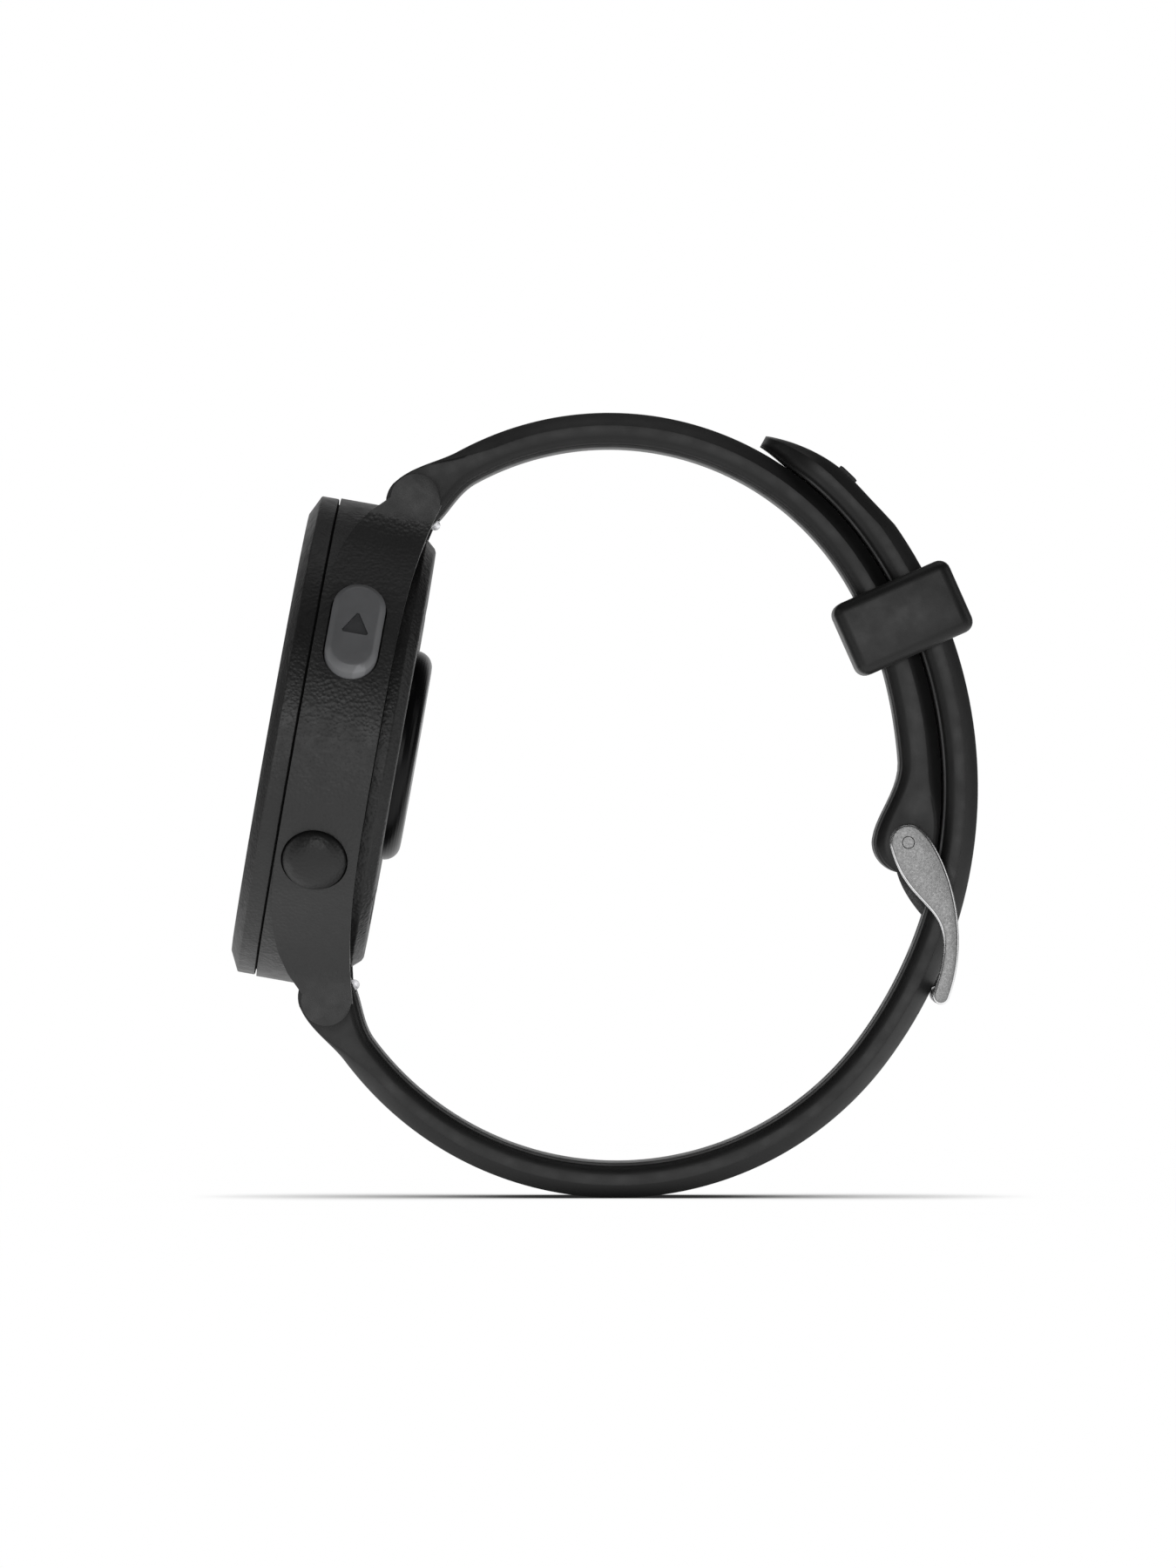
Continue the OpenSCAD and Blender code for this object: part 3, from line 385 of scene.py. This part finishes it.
def tail_strap():
    bm = bmesh.new()
    first, a = bar_stations(BOTTOM_MID, BOTTOM_R, BOTTOM_END, 1)
    plain = [station(BOTTOM_MID, BOTTOM_R, b, STRAP_W / 2, STRAP_T / 2, STRAP_T / 2, 1)
             for b in spread(a, SIDE_END, 1.5)]
    side = [station(SIDE_MID, SIDE_R, b, STRAP_W / 2, STRAP_T / 2, STRAP_T / 2, 1)
            for b in spread(SIDE_END, CROWN_END, 1.5)]
    loft(bm, first + plain + side + tip_stations())
    obj = new_piece("strap_with_holes", bm, "tail_side", "strap_silicone", "tail_strap")
    cutters = [tube(LOWER_BAR, -PAST_STRAP, PAST_STRAP, QUICK_BAR_R), lever_slot(LOWER_BAR, BOTTOM_END + 180)]
    for i in range(-4, 7):
        centre, r, b = tail_place(i * HOLE_PITCH)
        cutters.append(slab(centre, r, b, 3.0, HOLE_L / 2, HOLE_W / 2))
    cut(obj, cutters)
    recrease(obj)
    return obj


def keeper():
    """A moulded loop: a hollow box with well-rounded edges."""
    inner, outer = INNER_SIDE_R - 2.35, SIDE_R + 1.75
    wall = (KEEPER_H - outer + inner) / 2
    n, along = ray(KEEPER_ANGLE), ray(KEEPER_ANGLE + 90)
    in_w, out_w = STRAP_W / 2 + 0.3, STRAP_W / 2 + 1.9
    bm = bmesh.new()
    rings = []
    for step in (-KEEPER_HALF_L, -1.2, 1.2, KEEPER_HALF_L):
        loops = []
        for lo, hi, w in ((inner - wall, outer + wall, out_w), (inner, outer, in_w)):
            corners = [(lo, -w), (hi, -w), (hi, w), (lo, w)]
            places = [(SIDE_MID + r * n + step * along, y) for r, y in corners]
            loops.append([bm.verts.new(Vector((at[0], y, at[1])) * MM) for at, y in places])
        rings.append(loops)
    for a, b in zip(rings, rings[1:]):
        for k in range(4):
            m = (k + 1) % 4
            bm.faces.new((a[0][k], a[0][m], b[0][m], b[0][k]))
            bm.faces.new((a[1][m], a[1][k], b[1][k], b[1][m]))
    for ring in (rings[0], rings[-1]):
        for k in range(4):
            m = (k + 1) % 4
            bm.faces.new((ring[0][k], ring[0][m], ring[1][m], ring[1][k]))
    bmesh.ops.recalc_face_normals(bm, faces=bm.faces)
    hole = {v for ring in rings for v in ring[1]}
    outside = [e for e in bm.edges if e.calc_face_angle(0) > 0.8 and not hole.issuperset(e.verts)]
    bmesh.ops.bevel(
        bm, geom=outside, offset=KEEPER_ROUND * MM, segments=6, profile=0.5, affect="EDGES",
        clamp_overlap=True)
    crease(bm, 40)
    return new_piece("keeper_loop_moulded", bm, "keeper_loop", "strap_silicone", "keeper")


# ---- Buckle ----
def bezier(p, t):
    return (1 - t) ** 3 * p[0] + 3 * t * (1 - t) ** 2 * p[1] + 3 * t * t * (1 - t) * p[2] + t ** 3 * p[3]


def arm_edge(bar, head_a, foot_a, turn, head_lean, foot_lean, steps=26):
    """One edge of a buckle arm, tangent to the round at the pin and to the outer bar."""
    head, foot = PIN + HEAD_R * ray(head_a), bar + BAR_R * ray(foot_a)
    p = [head, head + head_lean * ray(head_a - turn), foot + foot_lean * ray(foot_a + turn), foot]
    return [bezier(p, i / steps) for i in range(steps + 1)]


def arm_outline():
    """Both edges of a buckle arm, with round ends at the pin and at the outer bar."""
    bar = on_side(BAR_ANGLE, STRAP_T / 2 + BAR_R + BAR_LIFT)
    outer = arm_edge(bar, 70.2, -20, 90, 2.2, 7.1)
    inner = arm_edge(bar, 194.8, 160.3, -90, 6.5, 8.8)
    nose = [bar + BAR_R * ray(-20 - 179.7 * i / 8) for i in range(1, 8)]
    back = [PIN + HEAD_R * ray(194.8 - 124.6 * i / 14) for i in range(1, 14)]
    return outer + nose + list(reversed(inner)) + back, bar


def buckle_arm(bm, outline, low, high):
    """Adds one arm: a sandy flat on each side, and polished rounded edges."""
    part = prism(outline, low, high)
    rims = [e for e in part.edges if len(e.link_faces) == 2 and e.calc_face_angle(0) > 1.0]
    bmesh.ops.bevel(part, geom=rims, offset=ARM_ROUND * MM, segments=4, profile=0.5, affect="EDGES")
    for face in part.faces:
        face.material_index = 0 if abs(face.normal.y) > 0.97 else 1
    absorb(bm, part)


def buckle_frame():
    outline, bar = arm_outline()
    inner = STRAP_W / 2 + ARM_GAP
    bm = bmesh.new()
    buckle_arm(bm, outline, -inner - ARM_T, -inner)
    buckle_arm(bm, outline, inner, inner + ARM_T)
    cross = tube(bar, -inner - 0.2, inner + 0.2, BAR_R - 0.01, 32)
    for face in cross.faces:
        face.material_index = 1
    absorb(bm, cross)
    obj = new_piece("buckle_bow", bm, "buckle", "buckle_steel", "buckle_frame")
    n, along = ray(BAR_ANGLE), ray(BAR_ANGLE + 90)
    floor_at, half = bar + (BAR_R - NOTCH_DEPTH) * n, 2 * BAR_R
    notch = [floor_at + half * (side * along + up * n) for side, up in ((-1, 0), (1, 0), (1, 1), (-1, 1))]
    cut(obj, [tube(PIN, -PAST_ARMS, PAST_ARMS, PIN_HEAD_R, 28), prism(notch, -NOTCH_HALF_W, NOTCH_HALF_W)])
    recrease(obj, 38)
    return obj


# ---- Buttons ----
# Each step of a cap's outline, as (way in from the edge, height above the foot)
START_RIM = (
    (0, 0), (0, 1.42), (0.03, 1.5), (0.46, 1.91), (0.54, 1.96), (0.66, 1.985), (1.0, 2.0), (1.5, 2.01))
ROUND_DOME = (
    (0, 0), (0, 0.95), (0.04, 1.1), (0.16, 1.25), (0.4, 1.45), (0.66, 1.62), (0.9, 1.74), (1.2, 1.84),
    (1.6, 1.92), (2.1, 1.98), (2.4, 2.0))


def cap_frame(angle):
    """From a cap's own frame to the row frame, in mm: its Z points out along the dial's radius."""
    return WATCH @ Matrix.Translation((CAP_X, 0, 0)) @ Matrix.Rotation(math.radians(angle - 90), 4, "X")


def stadium(w, l, inset, steps=20):
    """A cap's outline: two half circles, brought in from the edge."""
    r, reach = w / 2 - inset, (l - w) / 2
    return [(r * math.cos(t), r * math.sin(t) + side * reach)
            for side, start in ((1, 0), (-1, 180))
            for t in (math.radians(start + 180 * i / steps) for i in range(steps + 1))]


def button_cap(name, angle, w, l, profile):
    place = cap_frame(angle)
    rings = [[place @ Vector((x, y, CAP_FOOT + h)) for x, y in stadium(w, l + 0.02, inset)]
             for inset, h in profile]
    bm = bmesh.new()
    loft(bm, rings)
    crease(bm, 30)
    body = name.split("_")[0] + "_button"
    slot = "start_button_grey" if name.startswith("start") else "button_black"
    return new_piece(name + "_moulded", bm, body, slot, name)


def start_cap():
    """The long cap, with a generic start triangle sunk in it."""
    place = cap_frame(START_ANGLE)
    cap = button_cap("start_cap", START_ANGLE, START_W, START_L, START_RIM)
    mark = bmesh.new()
    points = [MARK_R * ray(120 * i + 90) for i in range(3)]
    soft = [a + f * (b - a) for a, b in zip(points, points[1:] + points[:1]) for f in (0.09, 0.91)]
    heights = (CAP_FOOT + CAP_H - MARK_DEPTH, CAP_FOOT + CAP_H + 1)
    loft(mark, [[place @ Vector((x, y, h)) for x, y in soft] for h in heights])
    for face in mark.faces:
        face.material_index = 1
    cut(cap, [mark])
    recrease(cap, 30)
    return cap


def round_caps():
    return [button_cap(name, angle, d, d, ROUND_DOME) for name, (angle, d) in ROUND_CAPS.items()]


# ---- Materials ----
def blank(name, color, metallic=0.0, roughness=0.5, specular=0.5, sheen=0.0):
    mat = bpy.data.materials.new(name)
    mat.use_nodes = True
    shader = mat.node_tree.nodes["Principled BSDF"]
    shader.inputs["Base Color"].default_value = (*color, 1)
    shader.inputs["Metallic"].default_value = metallic
    shader.inputs["Roughness"].default_value = roughness
    shader.inputs["Specular IOR Level"].default_value = specular
    shader.inputs["Sheen Weight"].default_value = sheen
    return mat, mat.node_tree, shader


def coords(tree):
    return tree.nodes.new("ShaderNodeTexCoord").outputs["Object"]


def noise(tree, scale, detail=3.0, rough=0.55):
    """Noise whose grain has a size in mm."""
    node = tree.nodes.new("ShaderNodeTexNoise")
    node.inputs["Scale"].default_value = 1 / (scale * MM)
    node.inputs["Detail"].default_value = detail
    node.inputs["Roughness"].default_value = rough
    tree.links.new(coords(tree), node.inputs["Vector"])
    return node.outputs["Fac"]


def cells(tree, size):
    node = tree.nodes.new("ShaderNodeTexVoronoi")
    node.feature = "SMOOTH_F1"
    node.inputs["Scale"].default_value = 1 / (size * MM)
    node.inputs["Smoothness"].default_value = 0.6
    node.inputs["Randomness"].default_value = 1.0
    tree.links.new(coords(tree), node.inputs["Vector"])
    return node.outputs["Distance"]


def ramp(tree, source, low, high, start=0.3, end=0.7):
    node = tree.nodes.new("ShaderNodeMapRange")
    node.inputs["From Min"].default_value = start
    node.inputs["From Max"].default_value = end
    node.inputs["To Min"].default_value = low
    node.inputs["To Max"].default_value = high
    tree.links.new(source, node.inputs["Value"])
    return node.outputs["Result"]


def tint(tree, source, dark, light, start=0.3, end=0.7):
    node = tree.nodes.new("ShaderNodeValToRGB")
    node.color_ramp.elements[0].position, node.color_ramp.elements[1].position = start, end
    node.color_ramp.elements[0].color = (*dark, 1)
    node.color_ramp.elements[1].color = (*light, 1)
    tree.links.new(source, node.inputs["Fac"])
    return node.outputs["Color"]


def bump(tree, shader, source, depth, strength=1.0, under=None):
    node = tree.nodes.new("ShaderNodeBump")
    node.inputs["Strength"].default_value = strength
    node.inputs["Distance"].default_value = depth * MM
    tree.links.new(source, node.inputs["Height"])
    if under is not None:
        tree.links.new(under, node.inputs["Normal"])
    tree.links.new(node.outputs["Normal"], shader.inputs["Normal"])
    return node.outputs["Normal"]


def edge_highlight_paint(tree, base, highlight):
    """Mixes in a painted highlight: a lighter tone where the surface turns outward sharply, standing in for
    light caught on the edges.
    """
    geo = tree.nodes.new("ShaderNodeNewGeometry")
    mask = ramp(tree, geo.outputs["Pointiness"], 0.0, 1.0, 0.52, 0.6)
    mix = tree.nodes.new("ShaderNodeMix")
    mix.data_type = "RGBA"
    mix.inputs[7].default_value = (*highlight, 1)
    tree.links.new(mask, mix.inputs[0])
    tree.links.new(base, mix.inputs[6])
    return mix.outputs[2]


def up_the_dial(tree):
    """Distance in metres from the dial's middle line, along the way from six to twelve o'clock."""
    offset = tree.nodes.new("ShaderNodeVectorMath")
    offset.operation = "SUBTRACT"
    offset.inputs[1].default_value = tuple(c * MM for c in WATCH.to_translation())
    dot = tree.nodes.new("ShaderNodeVectorMath")
    dot.operation = "DOT_PRODUCT"
    dot.inputs[1].default_value = tuple(WATCH.to_3x3() @ Vector((0, 0, 1)))
    size = tree.nodes.new("ShaderNodeMath")
    size.operation = "ABSOLUTE"
    tree.links.new(coords(tree), offset.inputs[0])
    tree.links.new(offset.outputs["Vector"], dot.inputs[0])
    tree.links.new(dot.outputs["Value"], size.inputs[0])
    return size.outputs["Value"]


def grained_polymer(name, level=0.013, depth=0.06, cell=0.3, specular=0.42, smooth_lugs=False):
    """Matt moulded plastic with a fine pebble grain, which the housing's lug ends don't have."""
    mat, tree, shader = blank(name, (level,) * 3, roughness=0.5, specular=specular)
    tone = tint(tree, noise(tree, 6), (level * 0.85,) * 3, (level * 1.2,) * 3)
    # painted highlight: a lighter tone on the sharp edges
    tree.links.new(edge_highlight_paint(tree, tone, (level * 1.9,) * 3), shader.inputs["Base Color"])
    tree.links.new(ramp(tree, noise(tree, 1.2), 0.4, 0.5), shader.inputs["Roughness"])
    fine = bump(tree, shader, noise(tree, 0.09, 2), depth * 0.25)
    bump(tree, shader, cells(tree, cell), depth, 0.85, fine)
    if smooth_lugs:
        grain = next(n for n in tree.nodes if n.type == "BUMP" and n.inputs["Normal"].is_linked)
        tree.links.new(ramp(tree, up_the_dial(tree), 0.85, 0.0, 0.0198, 0.0206), grain.inputs["Strength"])
    return mat


def satin_polymer(name, color, roughness=0.36, specular=0.45):
    mat, tree, shader = blank(name, color, roughness=roughness, specular=specular)
    tone = tint(tree, noise(tree, 4), tuple(c * 0.88 for c in color), tuple(c * 1.12 for c in color))
    # painted highlight: a lighter tone on the sharp edges
    tree.links.new(edge_highlight_paint(tree, tone, tuple(min(c * 1.6, 1) for c in color)), shader.inputs["Base Color"])
    gloss = ramp(tree, noise(tree, 0.8), roughness - 0.05, roughness + 0.06)
    tree.links.new(gloss, shader.inputs["Roughness"])
    bump(tree, shader, noise(tree, 0.13, 3), 0.008, 0.7)
    return mat


def silicone(name):
    """Satin black silicone with a dusty bloom and a very fine tooth."""
    level = 0.011
    mat, tree, shader = blank(name, (level,) * 3, roughness=0.46, specular=0.4, sheen=0.03)
    shader.inputs["Sheen Roughness"].default_value = 0.5
    tone = tint(tree, noise(tree, 9, 4), (level * 0.8,) * 3, (level * 1.25,) * 3)
    tree.links.new(tone, shader.inputs["Base Color"])
    tree.links.new(ramp(tree, noise(tree, 2.2, 4), 0.4, 0.52), shader.inputs["Roughness"])
    fine = bump(tree, shader, noise(tree, 0.16, 3), 0.006, 0.8)
    bump(tree, shader, noise(tree, 2.5, 2), 0.02, 0.35, fine)
    return mat


def blasted_steel(name, level=0.24):
    """Bead-blasted steel: even in tone, with a fine sandy tooth."""
    mat, tree, shader = blank(name, (level,) * 3, metallic=1.0, roughness=0.42)
    tone = tint(tree, noise(tree, 0.14, 2), (level * 0.86,) * 3, (level * 1.12,) * 3)
    tree.links.new(tone, shader.inputs["Base Color"])
    tree.links.new(ramp(tree, noise(tree, 0.2, 2), 0.38, 0.5), shader.inputs["Roughness"])
    bump(tree, shader, noise(tree, 0.1, 2), 0.012, 0.9)
    return mat


def polished_steel(name, color=(0.62, 0.62, 0.63), roughness=0.16):
    mat, tree, shader = blank(name, color, metallic=1.0, roughness=roughness)
    tone = tint(tree, noise(tree, 1.1), tuple(c * 0.9 for c in color), tuple(min(1, c * 1.06) for c in color))
    tree.links.new(tone, shader.inputs["Base Color"])
    gloss = ramp(tree, noise(tree, 0.4, 3), roughness * 0.7, roughness * 1.5)
    tree.links.new(gloss, shader.inputs["Roughness"])
    bump(tree, shader, noise(tree, 0.35, 2), 0.004, 0.5)
    return mat


def tinted_window(name, color, transmission, roughness=0.05):
    mat, tree, shader = blank(name, color, roughness=roughness, specular=0.6)
    shader.inputs["Transmission Weight"].default_value = transmission
    shader.inputs["IOR"].default_value = 1.46
    tree.links.new(ramp(tree, noise(tree, 5, 3), roughness, roughness * 1.6), shader.inputs["Roughness"])
    bump(tree, shader, noise(tree, 7, 1), 0.003, 0.3)
    return mat


def sensor_gloss(name):
    """The opaque black window over the sensor."""
    mat, tree, shader = blank(name, (0.004, 0.004, 0.0045), roughness=0.3, specular=0.2)
    tree.links.new(ramp(tree, noise(tree, 3, 3), 0.26, 0.34), shader.inputs["Roughness"])
    bump(tree, shader, noise(tree, 6, 1), 0.004, 0.3)
    return mat


def display_off(name):
    """A reflective display that is off: very dark, with a faint cell grid."""
    mat, tree, shader = blank(name, (0.006, 0.007, 0.009), roughness=0.22, specular=0.5)
    grid = cells(tree, 0.16)
    tone = tint(tree, grid, (0.004, 0.005, 0.007), (0.012, 0.013, 0.016))
    tree.links.new(tone, shader.inputs["Base Color"])
    tree.links.new(ramp(tree, noise(tree, 3), 0.18, 0.28), shader.inputs["Roughness"])
    return mat


def board_green(name):
    mat, tree, shader = blank(name, (0.02, 0.09, 0.05), roughness=0.35)
    tone = tint(tree, noise(tree, 1.1, 5), (0.012, 0.06, 0.034), (0.03, 0.13, 0.07))
    tree.links.new(tone, shader.inputs["Base Color"])
    bump(tree, shader, noise(tree, 0.5, 2), 0.02)
    return mat


def make_materials():
    return {
        "housing_polymer": grained_polymer("housing_polymer", smooth_lugs=True),
        "bezel_polymer": grained_polymer("bezel_polymer", 0.013, 0.045, 0.28, 0.5),
        "button_black": grained_polymer("button_black", 0.011, 0.04, 0.28),
        "start_button_grey": satin_polymer("start_button_grey", (0.15, 0.152, 0.157), 0.42, 0.5),
        "start_mark": satin_polymer("start_mark", (0.07, 0.071, 0.074), 0.5, 0.4),
        "cover_glass": tinted_window("cover_glass", (0.7, 0.72, 0.75), 0.92, 0.02),
        "display": display_off("display"),
        "sensor_window": sensor_gloss("sensor_window"),
        "sensor_ring_grey": satin_polymer("sensor_ring_grey", (0.2, 0.2, 0.21)),
        "seal_rubber": satin_polymer("seal_rubber", (0.014, 0.014, 0.014), 0.6),
        "magnesium": polished_steel("magnesium", (0.3, 0.3, 0.31), 0.5),
        "board": board_green("board"),
        "antenna_foil": polished_steel("antenna_foil", (0.6, 0.42, 0.2), 0.3),
        "shield_steel": polished_steel("shield_steel", (0.6, 0.6, 0.61), 0.35),
        "cell_foil": polished_steel("cell_foil", (0.55, 0.56, 0.6), 0.4),
        "led": satin_polymer("led", (0.3, 0.5, 0.28), 0.2),
        "socket_plastic": satin_polymer("socket_plastic", (0.02, 0.02, 0.02), 0.45),
        "contact_gold": polished_steel("contact_gold", (0.75, 0.55, 0.25), 0.2),
        "stem_steel": polished_steel("stem_steel", (0.5, 0.5, 0.51), 0.28),
        "bar_steel": polished_steel("bar_steel", (0.3, 0.3, 0.31), 0.3),
        "strap_silicone": silicone("strap_silicone"),
        "buckle_steel": blasted_steel("buckle_steel"),
        # painted shade: the buckle's steel made darker for the tongue, which sits in shade between the arms
        "tongue_steel_painted_shade": blasted_steel("tongue_steel_painted_shade", 0.06),
        "buckle_polish": polished_steel("buckle_polish", (0.95, 0.95, 0.96), 0.24),
    }


ROUNDED = {
    "case_body": 0.16, "bezel": 0.1, "back_cover": 0.1, "buckle_tongue": 0.12, "charge_socket": 0.05,
    "back_cover_screws": 0.05,
}


def dress_nodes(mats):
    """Gives each CAD node its material, and soft edges where a hand or light would find them."""
    slots = {s["node"]: s["material_slot"] for s in frame["record"]["subparts"]}
    for name, obj in frame["nodes"].items():
        obj.data.materials.clear()
        # the tongue gets the darker copy of the buckle steel, a painted shade
        obj.data.materials.append(mats["tongue_steel_painted_shade" if name == "buckle_tongue" else slots[name]])
        if name in ROUNDED:
            weld = obj.modifiers.new("weld", "WELD")
            weld.merge_threshold = 2e-6
            bevel = obj.modifiers.new("edge", "BEVEL")
            bevel.limit_method, bevel.angle_limit = "ANGLE", math.radians(28)
            bevel.width, bevel.segments = ROUNDED[name] * MM, 3
            bevel.use_clamp_overlap, bevel.harden_normals = True, False
            normals = obj.modifiers.new("normals", "WEIGHTED_NORMAL")
            normals.keep_sharp, normals.weight = False, 80


# ---- Studio ----
def camera():
    data = bpy.data.cameras.new("camera")
    data.lens, data.sensor_width = 529, 36
    data.clip_start, data.clip_end = 0.05, 20
    cam = bpy.data.objects.new("camera", data)
    cam.location = (-0.00568, -2.004, 0.00174)
    cam.rotation_euler = (math.radians(90), 0, 0)
    bpy.context.scene.collection.objects.link(cam)
    bpy.context.scene.camera = cam


def area(name, at, target, size, power, color=(1, 1, 1)):
    data = bpy.data.lights.new(name, "AREA")
    data.shape, data.size, data.size_y = "RECTANGLE", size[0], size[1]
    data.energy, data.color = power, color
    light = bpy.data.objects.new(name, data)
    light.location = at
    light.rotation_euler = (Vector(target) - Vector(at)).to_track_quat("-Z", "Y").to_euler()
    bpy.context.scene.collection.objects.link(light)


def world():
    """White behind the object, and for its light and reflections a dark room with a bright far wall."""
    w = bpy.data.worlds.new("studio")
    bpy.context.scene.world = w
    w.use_nodes = True
    tree = w.node_tree
    tree.nodes.clear()
    out = tree.nodes.new("ShaderNodeOutputWorld")
    mix = tree.nodes.new("ShaderNodeMixShader")
    path = tree.nodes.new("ShaderNodeLightPath")
    seen, room = tree.nodes.new("ShaderNodeBackground"), tree.nodes.new("ShaderNodeBackground")
    seen.inputs["Color"].default_value = (1, 1, 1, 1)
    way = tree.nodes.new("ShaderNodeSeparateXYZ")
    tree.links.new(tree.nodes.new("ShaderNodeTexCoord").outputs["Generated"], way.inputs[0])
    room.inputs["Color"].default_value = (1, 1, 1, 1)
    tree.links.new(ramp(tree, way.outputs["Y"], 0.03, 1.0, 0.72, 1.0), room.inputs["Strength"])
    tree.links.new(path.outputs["Is Camera Ray"], mix.inputs[0])
    tree.links.new(room.outputs[0], mix.inputs[1])
    tree.links.new(seen.outputs[0], mix.inputs[2])
    tree.links.new(mix.outputs[0], out.inputs["Surface"])


def floor():
    """A pale, self-lit floor with a shadow painted under the watch from ambient occlusion, fading out into
    the white around it.
    """
    bm = bmesh.new()
    bmesh.ops.create_circle(bm, cap_ends=True, segments=96, radius=0.34)
    mesh = bpy.data.meshes.new("floor")
    bm.to_mesh(mesh)
    bm.free()
    obj = bpy.data.objects.new("floor", mesh)
    obj.location = (0, 0, CAD_BOX[0][2] - 0.00002)
    bpy.context.scene.collection.objects.link(obj)
    mat, tree, shader = blank("floor", (0.04, 0.04, 0.04), roughness=0.9, specular=0)
    shade = tree.nodes.new("ShaderNodeAmbientOcclusion")
    shade.inputs["Distance"].default_value = 0.018
    shader.inputs["Emission Color"].default_value = (1, 1, 1, 1)
    # painted shadow: the floor's glow dims where ambient occlusion finds the watch close by
    tree.links.new(ramp(tree, shade.outputs["AO"], 0.02, 0.99, 0.1, 0.95), shader.inputs["Emission Strength"])
    place = tree.nodes.new("ShaderNodeTexCoord")
    length = tree.nodes.new("ShaderNodeVectorMath")
    length.operation = "LENGTH"
    tree.links.new(place.outputs["Object"], length.inputs[0])
    fade = ramp(tree, length.outputs["Value"], 1, 0, 0.06, 0.3)
    clear = tree.nodes.new("ShaderNodeBsdfTransparent")
    mix = tree.nodes.new("ShaderNodeMixShader")
    tree.links.new(fade, mix.inputs[0])
    tree.links.new(clear.outputs[0], mix.inputs[1])
    tree.links.new(shader.outputs[0], mix.inputs[2])
    tree.links.new(mix.outputs[0], tree.nodes["Material Output"].inputs["Surface"])
    mesh.materials.append(mat)


def lights():
    area("front", (-0.03, -1.0, 0.06), (0, 0, 0), (0.42, 0.42), 2.5)
    area("left", (-0.8, -0.05, 0.1), (0, 0, 0), (0.4, 0.7), 0.95)
    area("right", (0.8, -0.05, 0.1), (0, 0, 0), (0.4, 0.7), 0.95)
    area("top", (0, 0.1, 0.8), (0, 0, 0), (0.7, 0.5), 0.7)


def paint(obj, *mats):
    """Fills the piece's material slots, keeping which face uses which."""
    slots = obj.data.materials
    while len(slots) > len(mats):
        slots.pop()
    for i, mat in enumerate(mats):
        if i < len(slots):
            slots[i] = mat
        else:
            slots.append(mat)


def build():
    bpy.context.scene.view_settings.view_transform = "Standard"
    mats = make_materials()
    camera()
    world()
    lights()
    floor()
    dress_nodes(mats)
    for piece in (buckle_strap(), tail_strap(), tail_ridge(), keeper()):
        paint(piece, mats["strap_silicone"])
    paint(buckle_frame(), mats["buckle_steel"], mats["buckle_polish"])
    paint(start_cap(), mats["start_button_grey"], mats["start_mark"])
    for cap in round_caps():
        paint(cap, mats["button_black"])


build()
